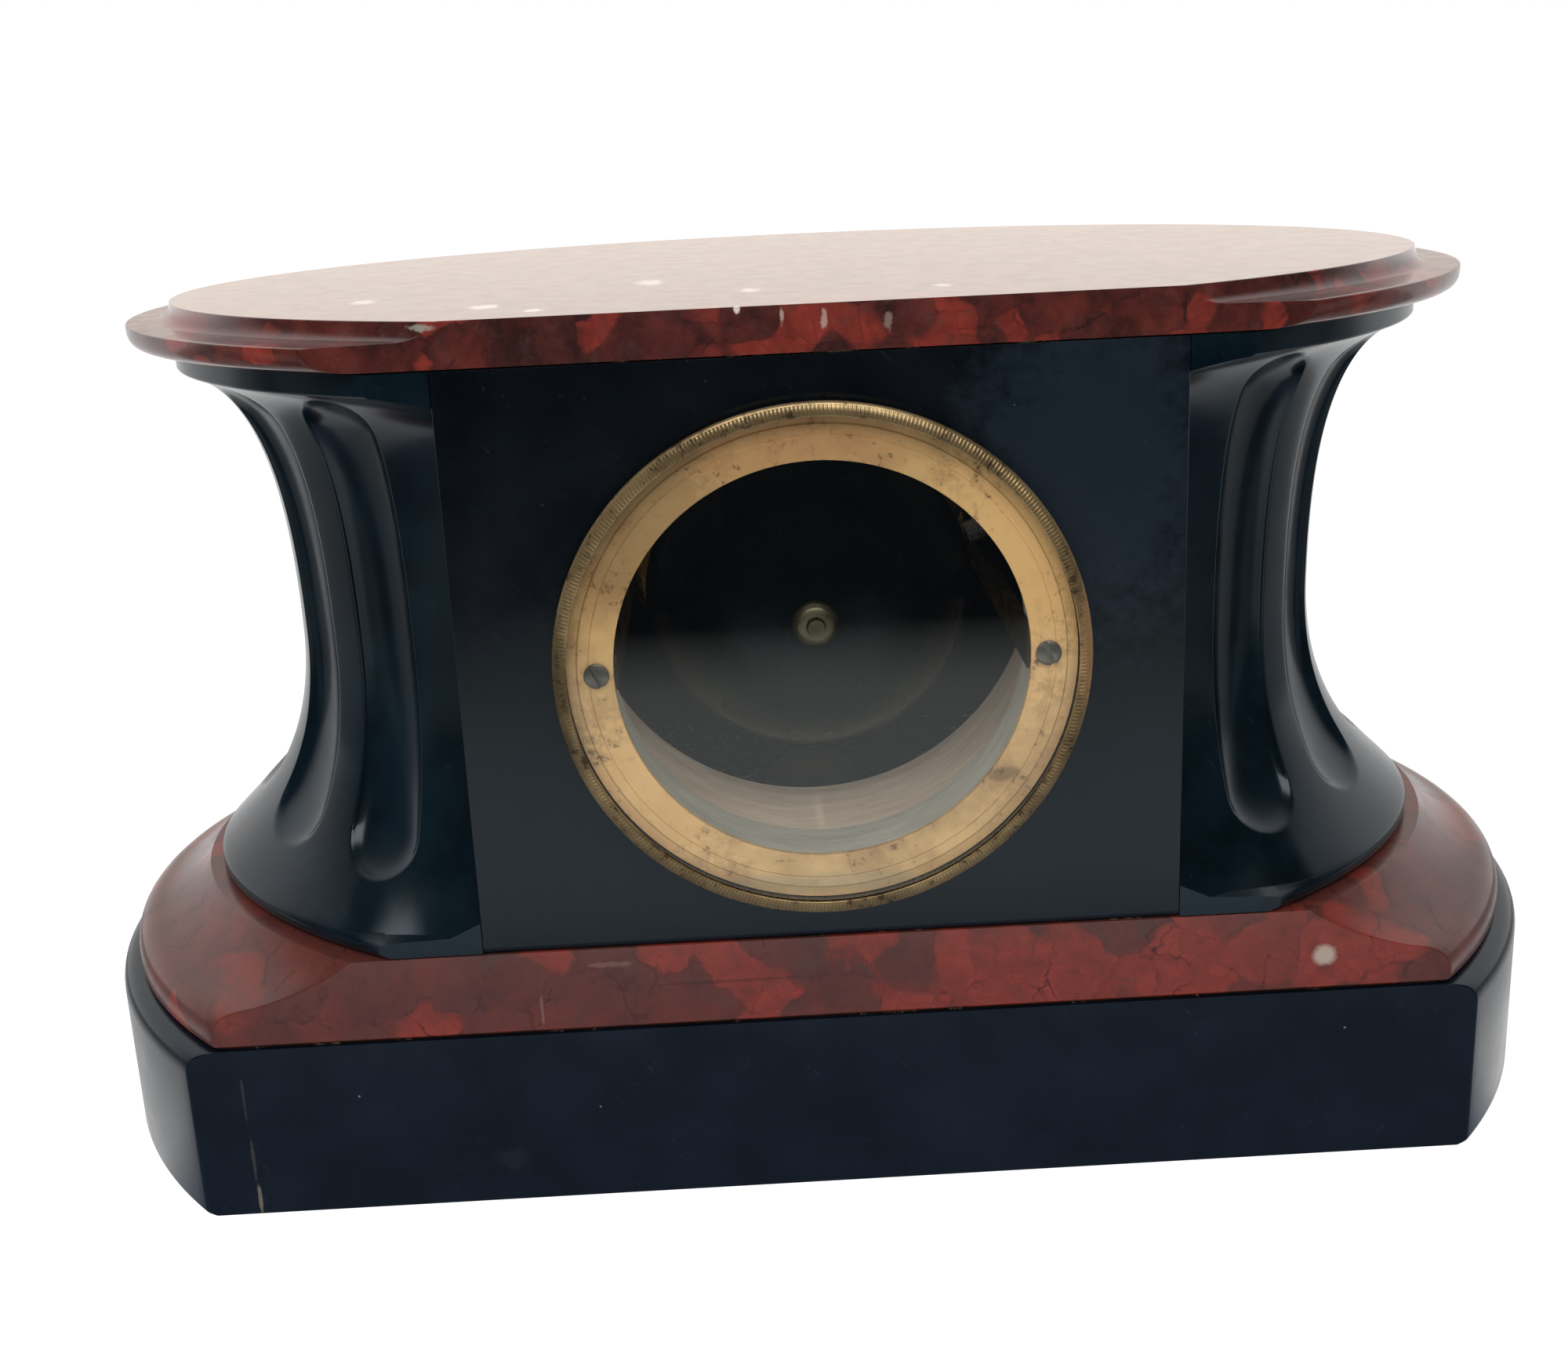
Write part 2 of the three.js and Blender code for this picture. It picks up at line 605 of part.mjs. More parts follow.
function panelOutline() {
  const outline = new THREE.Shape();
  outline.moveTo(-PANEL_HALF_WIDTH, bodyFoot - axisHeight);
  outline.lineTo(PANEL_HALF_WIDTH, bodyFoot - axisHeight);
  outline.lineTo(PANEL_HALF_WIDTH, bodyHead - axisHeight);
  outline.lineTo(-PANEL_HALF_WIDTH, bodyHead - axisHeight);
  return outline;
}

// Front panel: black slate with the hole for the dial
function frontPanel() {
  const outline = panelOutline();
  outline.holes.push(roundHole(FRONT_HOLE_RADIUS, 0, 0, RING_SIDES));
  return join(
    plate(outline, -frontPlane, -frontPlane + FRONT_PANEL_THICKNESS),
    bow(0, bodyFoot, bodyFoot + FOOT_BAND_HEIGHT),
    bow(-HEAD_BAND_INSET, bodyHead - HEAD_BAND_HEIGHT, bodyHead),
  );
}

// Back panel: black slate, a round hole with a shallow notch each side for the straps' ends
function backPanel() {
  const outline = panelOutline();
  outline.holes.push(roundHole(BACK_HOLE_RADIUS, 0, 0, RING_SIDES));
  const reach = STRAP_OFFSET + STRAP_THICKNESS + STRAP_LUG_LENGTH + RUNNING_GAP;
  const half = STRAP_WIDTH / 2 + RUNNING_GAP;
  const inner = backPlane - BACK_PANEL_THICKNESS;
  const floor = backPlane - STRAP_LUG_THICKNESS - 2 * RUNNING_GAP;
  const notches = box(-reach, reach, floor, backPlane + OVERRUN, axisHeight - half, axisHeight + half);
  const bore = rod(LINING_BORE, inner - OVERRUN, backPlane - BACK_HOLE_DEPTH, 0, 0, RING_SIDES);
  return cut(plate(outline, inner, backPlane), notches, bore);
}

// Lining: a block of plaster behind the back panel, bored round to clear the bell and the straps
function plasterLining() {
  const back = backPlane - BACK_PANEL_THICKNESS - BED_GAP;
  const front = pendulumPlane + LINING_SETBACK;
  const block = box(-PANEL_HALF_WIDTH, PANEL_HALF_WIDTH, front, back, bodyFoot, bodyHead);
  return cut(block, rod(LINING_BORE, front - OVERRUN, back + OVERRUN, 0, 0, RING_SIDES));
}

piece('plinth', plinth(), slate);
piece('base_moulding', baseMoulding(), redMarble);
piece('end_block_left', endBlock(-1), slate);
piece('end_block_right', endBlock(1), slate);
piece('front_panel', frontPanel(), slate);
piece('back_panel', backPanel(), slate);
piece('plaster_lining', plasterLining(), plaster);
piece('top_slab', topSlab(), redMarble);

// Back ring: a flat brass ring screwed to the ends of the straps
const ringSeat = backPlane + BED_GAP;
const ringFace = ringSeat + BACK_RING_THICKNESS;

function backRing() {
  const ring = turnedRing(BACK_RING_INNER, BACK_RING_OUTER, ringSeat, ringFace);
  const radius = SCREW_SHANK_RADIUS + RUNNING_GAP;
  const hole = (side) => rod(radius, ringSeat - OVERRUN, ringFace + OVERRUN, side * STRAP_SCREW_OFFSET);
  return cut(ring, hole(-1), hole(1));
}

function strapScrew(side) {
  const x = side * STRAP_SCREW_OFFSET;
  const headFoot = ringFace + SEAT_GAP;
  const headTop = headFoot + SCREW_HEAD_HEIGHT;
  const slot = box(x - SCREW_SLOT / 2, x + SCREW_SLOT / 2, headTop - SCREW_HEAD_HEIGHT / 2, headTop + OVERRUN,
    axisHeight - SCREW_HEAD_RADIUS - OVERRUN, axisHeight + SCREW_HEAD_RADIUS + OVERRUN);
  return cut(join(
    rod(SCREW_HEAD_RADIUS, headFoot, headTop, x),
    rod(SCREW_SHANK_RADIUS, ringSeat - RUNNING_GAP - STRAP_LUG_THICKNESS, headTop - SCREW_HEAD_HEIGHT / 2, x),
  ), slot);
}

// Strap: a flat brass bar from the front ring to the back ring, both ends bent outwards
function caseStrap(side) {
  const front = -frontPlane + RING_TUBE_LENGTH + RUNNING_GAP;
  const back = ringSeat - RUNNING_GAP;
  const outer = STRAP_OFFSET + STRAP_THICKNESS;
  const half = STRAP_WIDTH / 2;
  const slab = (reach, y0, y1) => sideBox(side, STRAP_OFFSET, reach, y0, y1,
    axisHeight - half, axisHeight + half);
  const thread = rod(SCREW_SHANK_RADIUS + PIVOT_CLEARANCE, back - 2 * STRAP_LUG_THICKNESS, back + OVERRUN,
    side * STRAP_SCREW_OFFSET);
  return cut(join(
    slab(outer, front, back),
    slab(outer + STRAP_LUG_LENGTH, back - STRAP_LUG_THICKNESS, back),
    slab(outer + STRAP_LUG_LENGTH, front, front + STRAP_LUG_THICKNESS),
  ), thread);
}

// Rear cover: a narrow brass bezel that pushes over the back ring, and its glass
const coverFoot = ringSeat;
const coverTop = coverFoot + COVER_DEPTH;
const coverGlassTop = coverTop - COVER_LIP_THICKNESS - SEAT_GAP;

function rearCoverBezel() {
  const bore = COVER_RADIUS - COVER_SKIRT;
  const sight = COVER_RADIUS - COVER_LIP;
  return turned([
    [bore, coverFoot], [COVER_RADIUS, coverFoot], [COVER_RADIUS, coverTop - COVER_EDGE],
    [COVER_RADIUS - COVER_EDGE, coverTop], [sight, coverTop], [sight, coverTop - COVER_LIP_THICKNESS],
    [bore, coverTop - COVER_LIP_THICKNESS],
  ]);
}

piece('back_ring', backRing(), brass);
for (const [word, side] of [['left', -1], ['right', 1]]) {
  piece(`case_strap_${word}`, caseStrap(side), brass);
  piece(`strap_screw_${word}`, strapScrew(side), steel);
}
piece('rear_cover_bezel', rearCoverBezel(), tarnishedBrass);
const coverGlassRadius = COVER_RADIUS - COVER_SKIRT - RUNNING_GAP;
piece('rear_cover_glass',
  rod(coverGlassRadius, coverGlassTop - GLASS_THICKNESS, coverGlassTop, 0, 0, RING_SIDES), clearGlass);

// Front ring: a brass tube in the panel's hole with a flange in front and a ledge for the dial
const doorHinge = -frontPlane - RING_FLANGE_THICKNESS - HINGE_RADIUS + HINGE_SINK;

function knuckle(z0, z1) {
  return new THREE.CylinderGeometry(HINGE_RADIUS, HINGE_RADIUS, z1 - z0, SMALL_SIDES)
    .rotateX(Math.PI / 2)
    .translate(-HINGE_OFFSET, doorHinge, axisHeight + (z0 + z1) / 2);
}

function pinBore(radius) {
  return new THREE.CylinderGeometry(radius, radius, 4 * HINGE_KNUCKLE, SMALL_SIDES)
    .rotateX(Math.PI / 2)
    .translate(-HINGE_OFFSET, doorHinge, axisHeight);
}

function frontRing() {
  const face = -frontPlane - RING_FLANGE_THICKNESS;
  const tubeEnd = -frontPlane + RING_TUBE_LENGTH;
  const bore = RING_TUBE_OUTER - RING_TUBE_WALL;
  const ledge = dialBack + SEAT_GAP;
  const seat = -frontPlane - BED_GAP;
  const ring = turned([
    [bore, face], [RING_FLANGE_RADIUS, face], [RING_FLANGE_RADIUS, seat], [RING_TUBE_OUTER, seat],
    [RING_TUBE_OUTER, tubeEnd], [bore - DIAL_LEDGE, tubeEnd], [bore - DIAL_LEDGE, ledge], [bore, ledge],
  ]);
  const parts = [ring];
  for (const side of [-1, 1]) {
    const inner = side * (HINGE_KNUCKLE / 2 + RUNNING_GAP);
    const outer = side * (1.5 * HINGE_KNUCKLE + RUNNING_GAP);
    const [z0, z1] = [Math.min(inner, outer), Math.max(inner, outer)];
    parts.push(knuckle(z0, z1));
    parts.push(sideBox(-1, HINGE_OFFSET, RING_FLANGE_RADIUS - OVERRUN, seat - HINGE_TAB, seat,
      axisHeight + z0, axisHeight + z1));
  }
  return cut(join(...parts), pinBore(HINGE_PIN_RADIUS + PIVOT_CLEARANCE));
}

// Dial: enamelled disc with holes for the hands and the winding squares, on three feet
function dial() {
  const radius = RING_TUBE_OUTER - RING_TUBE_WALL - RUNNING_GAP;
  const outline = roundOutline(radius, RING_SIDES);
  outline.holes.push(roundHole(DIAL_CENTRE_HOLE, 0, 0, SMALL_SIDES));
  for (const spot of [goingBarrel, strikeBarrel]) {
    outline.holes.push(roundHole(WINDING_HOLE_RADIUS, spot.x, spot.z, SMALL_SIDES));
  }
  const feet = [30, 150, 270].map((degrees) => {
    const angle = THREE.MathUtils.degToRad(degrees);
    return rod(DIAL_FOOT_RADIUS, dialBack - DIAL_THICKNESS / 2, plateFront - SEAT_GAP,
      DIAL_FOOT_CIRCLE * Math.cos(angle), DIAL_FOOT_CIRCLE * Math.sin(angle), PIVOT_SIDES);
  });
  return join(plate(outline, dialFront, dialBack), ...feet);
}

// Door: a coved brass bezel on a side hinge, with its glass sprung in from behind
const doorBack = -frontPlane - RING_FLANGE_THICKNESS - RUNNING_GAP;
const doorFront = doorBack - DOOR_DEPTH;
const doorGlassFront = doorFront + DOOR_GLASS_DEPTH;

function doorBezel() {
  const glassEdge = DOOR_RADIUS - DOOR_WALL;
  const ring = turned([
    [glassEdge, doorBack], [DOOR_RADIUS, doorBack], [DOOR_RADIUS, doorFront + DOOR_EDGE],
    [DOOR_RADIUS - DOOR_EDGE / 2, doorFront], [DOOR_RADIUS - DOOR_RIM, doorFront],
    [DOOR_SIGHT_RADIUS, doorFront + DOOR_EDGE], [DOOR_SIGHT_RADIUS, doorGlassFront - SEAT_GAP],
    [glassEdge, doorGlassFront - SEAT_GAP],
  ]);
  const half = HINGE_KNUCKLE / 2;
  const tab = sideBox(-1, HINGE_OFFSET, DOOR_RADIUS - OVERRUN, doorBack - HINGE_TAB, doorBack,
    axisHeight - half, axisHeight + half);
  return cut(join(ring, knuckle(-half, half), tab), pinBore(HINGE_PIN_RADIUS + PIVOT_CLEARANCE));
}

function hingePin() {
  const length = 3 * HINGE_KNUCKLE + 2 * OVERRUN;
  return new THREE.CylinderGeometry(HINGE_PIN_RADIUS, HINGE_PIN_RADIUS, length, SMALL_SIDES)
    .rotateX(Math.PI / 2)
    .translate(-HINGE_OFFSET, doorHinge, axisHeight);
}

piece('front_ring', frontRing(), brass);
piece('dial', dial(), enamel);
piece('door_bezel', doorBezel(), brass);
const doorGlassRadius = DOOR_RADIUS - DOOR_WALL - RUNNING_GAP;
piece('door_glass',
  rod(doorGlassRadius, doorGlassFront, doorGlassFront + GLASS_THICKNESS, 0, 0, RING_SIDES), clearGlass);
piece('door_hinge_pin', hingePin(), steel);

// Teeth: pointed, on a flat root; the phase is the direction of one tooth
function toothedOutline(teeth, module, phase, rootShare = TOOTH_ROOT_SHARE) {
  const pitch = (2 * Math.PI) / teeth;
  const radius = (module * teeth) / 2;
  const root = radius - TOOTH_DEDENDUM * module;
  const tip = radius + TOOTH_ADDENDUM * module;
  const points = [];
  for (let k = 0; k < teeth; k++) {
    const corners = [[-rootShare, root], [0, tip], [rootShare, root]];
    const flatRoot = rootShare < 0.5;
    for (const [share, reach] of flatRoot ? corners : corners.slice(0, 2)) {
      const angle = phase + (k + share) * pitch;
      points.push(new THREE.Vector2(reach * Math.cos(angle), reach * Math.sin(angle)));
    }
  }
  return new THREE.Shape(points);
}

const towards = (from, to) => Math.atan2(to.z - from.z, to.x - from.x);
const gapPhase = (angle, teeth) => angle + Math.PI / teeth;
const pitchRadius = (teeth, module) => (teeth * module) / 2;
const meshDistance = (module, wheel = WHEEL_TEETH) => pitchRadius(wheel + PINION_LEAVES, module);

// The spot at given distances from two others, on the chosen side of the line between them
function meet(a, fromA, b, fromB, side) {
  const line = towards(a, b);
  const apart = Math.hypot(b.x - a.x, b.z - a.z);
  const along = (apart ** 2 + fromA ** 2 - fromB ** 2) / (2 * apart);
  const off = side * Math.sqrt(fromA ** 2 - along ** 2);
  return {
    x: a.x + along * Math.cos(line) - off * Math.sin(line),
    z: a.z + along * Math.sin(line) + off * Math.cos(line),
  };
}

function polar(from, distance, degrees) {
  const angle = THREE.MathUtils.degToRad(degrees);
  return { x: from.x + distance * Math.cos(angle), z: from.z + distance * Math.sin(angle) };
}

// Where the arbors stand, seen from the dial side and measured from the centre arbor
const centre = { x: 0, z: 0 };
const barrelMesh = meshDistance(BARREL_MODULE, BARREL_TEETH);
const second = meet(centre, meshDistance(SECOND_MODULE), goingBarrel, barrelMesh, -1);
const escape = { x: 0, z: ESCAPE_RISE };
const third = meet(centre, meshDistance(CENTRE_MODULE), escape, meshDistance(THIRD_MODULE), -1);
const pinArbor = meet(centre, PIN_FROM_CENTRE, strikeBarrel, barrelMesh, -1);
const lockingArbor = polar(pinArbor, meshDistance(PIN_MODULE), LOCKING_DIRECTION);
const flyArbor = polar(lockingArbor, meshDistance(LOCKING_MODULE), FLY_DIRECTION);
const palletArbor = { x: 0, z: PALLET_RISE };
const hammerArbor = { x: -HAMMER_ACROSS, z: HAMMER_UP };
const pillars = PILLAR_DIRECTIONS.map((degrees) => polar(centre, PILLAR_CIRCLE, degrees));

// Depths between the plates
const frontWheels = trainFront + WHEEL_ROOM;
const drumFront = frontWheels + WHEEL_THICKNESS + WHEEL_ROOM;
const rearWheels = trainBack - WHEEL_ROOM - WHEEL_THICKNESS;
const drumBack = rearWheels - WHEEL_ROOM;
const goingRim = drumBack - WHEEL_THICKNESS - WHEEL_ROOM;
const strikeRim = drumFront + WHEEL_ROOM;
const middleWheels = trainFront + THIRD_DEPTH;
const escapeFront = trainFront + ESCAPE_DEPTH;
const lockingFront = trainFront + LOCKING_DEPTH;

// Plates, bored for the arbors, and pillars
function trainPlate(y0, y1) {
  const outline = roundOutline(PLATE_RADIUS, RING_SIDES);
  const arbors = [centre, second, third, escape, palletArbor, pinArbor, lockingArbor, flyArbor, hammerArbor];
  for (const spot of arbors) {
    outline.holes.push(roundHole(ARBOR_RADIUS + PIVOT_CLEARANCE, spot.x, spot.z));
  }
  for (const spot of [goingBarrel, strikeBarrel]) {
    outline.holes.push(roundHole(BARREL_ARBOR_RADIUS + PIVOT_CLEARANCE, spot.x, spot.z, SMALL_SIDES));
  }
  return plate(outline, y0, y1);
}

piece('front_plate', trainPlate(plateFront, trainFront), brass);
piece('back_plate', trainPlate(trainBack, plateBack), brass);
pillars.forEach((spot, k) => {
  const length = [trainFront + SEAT_GAP, trainBack - SEAT_GAP];
  piece(`pillar_${k + 1}`, rod(PILLAR_RADIUS, ...length, spot.x, spot.z), brass);
});

// A plain arbor running in both plates
function arbor(spot, y0 = plateFront, y1 = plateBack) {
  return rod(ARBOR_RADIUS, y0, y1, spot.x, spot.z, PIVOT_SIDES);
}

function wheel(spot, teeth, module, phase, y0) {
  return plate(toothedOutline(teeth, module, phase), y0, y0 + WHEEL_THICKNESS, spot.x, spot.z);
}

function pinion(spot, module, partner, y0) {
  const phase = gapPhase(towards(spot, partner), PINION_LEAVES);
  const outline = toothedOutline(PINION_LEAVES, module, phase, LEAF_ROOT_SHARE);
  return plate(outline, y0, y0 + PINION_LENGTH, spot.x, spot.z);
}

const beside = (y0) => y0 - (PINION_LENGTH - WHEEL_THICKNESS) / 2;

// Barrels: toothed drums open at the arbor, each with its coiled mainspring
function barrel(spot, partner, rimFront) {
  const bore = BARREL_ARBOR_RADIUS + RUNNING_GAP;
  const inside = BARREL_DRUM_RADIUS - BARREL_WALL;
  const drum = turned([
    [bore, drumFront], [BARREL_DRUM_RADIUS, drumFront], [BARREL_DRUM_RADIUS, drumBack], [bore, drumBack],
    [bore, drumBack - BARREL_WALL], [inside, drumBack - BARREL_WALL], [inside, drumFront + BARREL_WALL],
    [bore, drumFront + BARREL_WALL],
  ], DRUM_SIDES, spot.x, spot.z);
  const rim = toothedOutline(BARREL_TEETH, BARREL_MODULE, towards(spot, partner));
  rim.holes.push(roundHole(inside + BARREL_WALL / 2, 0, 0, DRUM_SIDES));
  return join(drum, plate(rim, rimFront, rimFront + WHEEL_THICKNESS, spot.x, spot.z));
}

function mainspring(spot) {
  const inner = BARREL_ARBOR_RADIUS + 2 * RUNNING_GAP;
  const flats = (BARREL_DRUM_RADIUS - BARREL_WALL) * Math.cos(Math.PI / DRUM_SIDES);
  const outer = flats - RUNNING_GAP - SPRING_STRIP;
  const steps = SPRING_TURNS * SMALL_SIDES;
  const coil = (k, extra) => {
    const angle = (2 * Math.PI * k) / SMALL_SIDES;
    const radius = inner + ((outer - inner) * k) / steps + extra;
    return new THREE.Vector2(radius * Math.cos(angle), radius * Math.sin(angle));
  };
  const points = [];
  for (let k = 0; k <= steps; k++) points.push(coil(k, 0));
  for (let k = steps; k >= 0; k--) points.push(coil(k, SPRING_STRIP));
  const room = BARREL_WALL + RUNNING_GAP;
  return plate(new THREE.Shape(points), drumFront + room, drumBack - room, spot.x, spot.z);
}

const ratchetFront = plateFront - RUNNING_GAP - RATCHET_THICKNESS;

function windingArbor(spot) {
  const half = WINDING_SQUARE / 2;
  const height = axisHeight + spot.z;
  return join(
    rod(BARREL_ARBOR_RADIUS, ratchetFront, plateBack, spot.x, spot.z, SMALL_SIDES),
    box(spot.x - half, spot.x + half, dialBack + RUNNING_GAP, plateFront, height - half, height + half),
  );
}

function sawToothed(teeth, radius, depth) {
  const points = [];
  for (let k = 0; k < teeth; k++) {
    const angle = (2 * Math.PI * k) / teeth;
    const root = radius - depth;
    points.push(new THREE.Vector2(radius * Math.cos(angle), radius * Math.sin(angle)));
    points.push(new THREE.Vector2(root * Math.cos(angle + TOOTH_RAKE), root * Math.sin(angle + TOOTH_RAKE)));
  }
  return new THREE.Shape(points);
}

function ratchet(spot) {
  const outline = sawToothed(RATCHET_TEETH, RATCHET_RADIUS, RATCHET_TOOTH);
  outline.holes.push(roundHole(BARREL_ARBOR_RADIUS + PIVOT_CLEARANCE, 0, 0, SMALL_SIDES));
  return plate(outline, ratchetFront, ratchetFront + RATCHET_THICKNESS, spot.x, spot.z);
}

// Click: a small pawl pivoted on the front plate, its nose resting at the ratchet's edge
function click(spot, side) {
  const pivot = new THREE.Vector2(spot.x + side * CLICK_ACROSS, spot.z + CLICK_RISE);
  const nose = new THREE.Vector2(spot.x + (side * CLICK_NOSE) / 2, spot.z + RATCHET_RADIUS + RUNNING_GAP);
  const way = nose.clone().sub(pivot).normalize();
  const across = new THREE.Vector2(-way.y, way.x).multiplyScalar(-side);
  const outline = new THREE.Shape([
    pivot.clone().addScaledVector(across, CLICK_BOSS),
    pivot.clone().addScaledVector(across, -CLICK_BOSS),
    nose.clone().addScaledVector(across, -CLICK_NOSE),
    nose,
  ]);
  return join(
    plate(outline, ratchetFront, ratchetFront + RATCHET_THICKNESS),
    rod(CLICK_BOSS, ratchetFront, plateFront - SEAT_GAP, pivot.x, pivot.y),
  );
}

const springSides = [
  ['going', goingBarrel, second, 1, goingRim],
  ['strike', strikeBarrel, pinArbor, -1, strikeRim],
];
for (const [word, spot, partner, side, rimFront] of springSides) {
  piece(`${word}_barrel`, barrel(spot, partner, rimFront), brass);
  piece(`${word}_mainspring`, mainspring(spot), bluedSteel);
  piece(`${word}_winding_arbor`, windingArbor(spot), steel);
  piece(`${word}_ratchet`, ratchet(spot), steel);
  piece(`${word}_click`, click(spot, side), steel);
}

// Going train: second, centre, third and escape wheels
piece('second_wheel', join(arbor(second), pinion(second, BARREL_MODULE, goingBarrel, beside(goingRim)),
  wheel(second, WHEEL_TEETH, SECOND_MODULE, towards(second, centre), frontWheels)), brass);
piece('centre_wheel', join(arbor(centre), rod(ARBOR_RADIUS, handsFront, trainFront + OVERRUN),
  pinion(centre, SECOND_MODULE, second, beside(frontWheels)),
  wheel(centre, WHEEL_TEETH, CENTRE_MODULE, towards(centre, third), rearWheels)), brass);
piece('third_wheel', join(arbor(third), pinion(third, CENTRE_MODULE, centre, beside(rearWheels)),
  wheel(third, WHEEL_TEETH, THIRD_MODULE, towards(third, escape), middleWheels)), brass);

function escapeWheel() {
  const outline = sawToothed(ESCAPE_TEETH, ESCAPE_RADIUS, ESCAPE_TOOTH);
  return join(arbor(escape), pinion(escape, THIRD_MODULE, third, beside(middleWheels)),
    plate(outline, escapeFront, escapeFront + ESCAPE_THICKNESS, escape.x, escape.z));
}

// Pallets: an anchor over the escape wheel, with the crutch behind the rear plate
const crutchFront = plateBack + CRUTCH_SETBACK;

function pallets() {
  const inner = ESCAPE_RADIUS + PALLET_CLEARANCE;
  const outer = inner + PALLET_ARCH;
  const arch = new THREE.Shape();
  arch.absarc(0, 0, outer, PALLET_REACH, Math.PI - PALLET_REACH, false);
  arch.absarc(0, 0, inner, Math.PI - PALLET_REACH, PALLET_REACH, true);
  const top = axisHeight + PALLET_RISE;
  const archBack = escapeFront + WHEEL_THICKNESS;
  const bridge = box(-PALLET_ARCH, PALLET_ARCH, escapeFront, archBack,
    axisHeight + ESCAPE_RISE + inner + PALLET_ARCH / 4, top);
  const fork = top - CRUTCH_DROP;
  const half = CRUTCH_WIDTH / 2;
  const gap = ROD_RADIUS + FORK_GAP;
  const armBack = crutchFront + CRUTCH_THICKNESS;
  const tine = (side) => sideBox(side, gap, gap + FORK_TINE, crutchFront, pendulumPlane + ROD_RADIUS,
    fork - half, fork + half);
  return join(
    arbor(palletArbor, plateFront, armBack),
    plate(arch, escapeFront, archBack, escape.x, escape.z, 8),
    bridge,
    rod(PALLET_ARCH, escapeFront, archBack, 0, PALLET_RISE),
    box(-half, half, crutchFront, armBack, fork - half, top + half),
    box(-gap - FORK_TINE, gap + FORK_TINE, crutchFront, armBack, fork - half, fork + half),
    tine(-1),
    tine(1),
  );
}

piece('escape_wheel', escapeWheel(), brass);
piece('pallets', pallets(), steel);

// Motion work: the cannon pinion turns the minute wheel, and its pinion turns the hour wheel
const cannonModule = (2 * MINUTE_WHEEL_RISE) / (CANNON_LEAVES + MINUTE_WHEEL_TEETH);
const hourModule = (2 * MINUTE_WHEEL_RISE) / (MINUTE_PINION_LEAVES + HOUR_WHEEL_TEETH);
function cannonPinion() {
  const leaves = toothedOutline(CANNON_LEAVES, cannonModule, gapPhase(Math.PI / 2, CANNON_LEAVES),
    LEAF_ROOT_SHARE);
  const bore = ARBOR_RADIUS + RUNNING_GAP;
  leaves.holes.push(roundHole((bore + CANNON_RADIUS) / 2));
  const pipe = turnedRing(bore, CANNON_RADIUS, minuteHandFront, motionBack, PIVOT_SIDES);
  return join(pipe, plate(leaves, motionFront, motionBack));
}

function minuteWheel() {
  const bore = roundHole(ARBOR_RADIUS + RUNNING_GAP);
  const big = toothedOutline(MINUTE_WHEEL_TEETH, cannonModule, -Math.PI / 2);
  const small = toothedOutline(MINUTE_PINION_LEAVES, hourModule, gapPhase(-Math.PI / 2, MINUTE_PINION_LEAVES),
    LEAF_ROOT_SHARE);
  big.holes.push(bore);
  small.holes.push(bore);
  return join(
    plate(big, motionFront, motionBack, 0, MINUTE_WHEEL_RISE),
    plate(small, hourFront - RUNNING_GAP, motionFront + RUNNING_GAP, 0, MINUTE_WHEEL_RISE),
  );
}

function hourWheel() {
  const inner = CANNON_RADIUS + RUNNING_GAP;
  const teeth = toothedOutline(HOUR_WHEEL_TEETH, hourModule, Math.PI / 2);
  teeth.holes.push(roundHole((inner + HOUR_PIPE_RADIUS) / 2, 0, 0, SMALL_SIDES));
  return join(
    plate(teeth, hourFront, hourBack),
    turnedRing(inner, HOUR_PIPE_RADIUS, hourHandFront, hourBack, SMALL_SIDES),
  );
}

piece('cannon_pinion', cannonPinion(), steel);
piece('minute_wheel', minuteWheel(), brass);
piece('minute_wheel_post',
  rod(ARBOR_RADIUS, hourFront - OVERRUN, plateFront - SEAT_GAP, 0, MINUTE_WHEEL_RISE, PIVOT_SIDES), steel);
piece('hour_wheel', hourWheel(), brass);

// Hands: a round boss, a slim shank, an open moon and a point
function handOutline(length, bore, moonAt) {
  const boss = bore + HAND_BOSS;
  const root = Math.asin(HAND_SHANK / boss);
  const neck = Math.asin(HAND_SHANK / MOON_RADIUS);
  const up = Math.PI / 2;
  const outline = new THREE.Shape();
  outline.absarc(0, 0, boss, up + root, up - root + 2 * Math.PI, false);
  outline.absarc(0, moonAt, MOON_RADIUS, -up + neck, up - neck, false);
  outline.lineTo(0, length);
  outline.absarc(0, moonAt, MOON_RADIUS, up + neck, 3 * up - neck, false);
  outline.holes.push(roundHole(bore, 0, 0, SMALL_SIDES));
  outline.holes.push(roundHole(MOON_RADIUS - MOON_RIM, 0, moonAt, SMALL_SIDES));
  return outline;
}

function hand(outline, y0, degrees) {
  return new THREE.ExtrudeGeometry(outline, { depth: HAND_THICKNESS, bevelEnabled: false, curveSegments: 5 })
    .rotateX(Math.PI / 2)
    .rotateY(THREE.MathUtils.degToRad(degrees))
    .translate(0, y0 + HAND_THICKNESS, axisHeight);
}

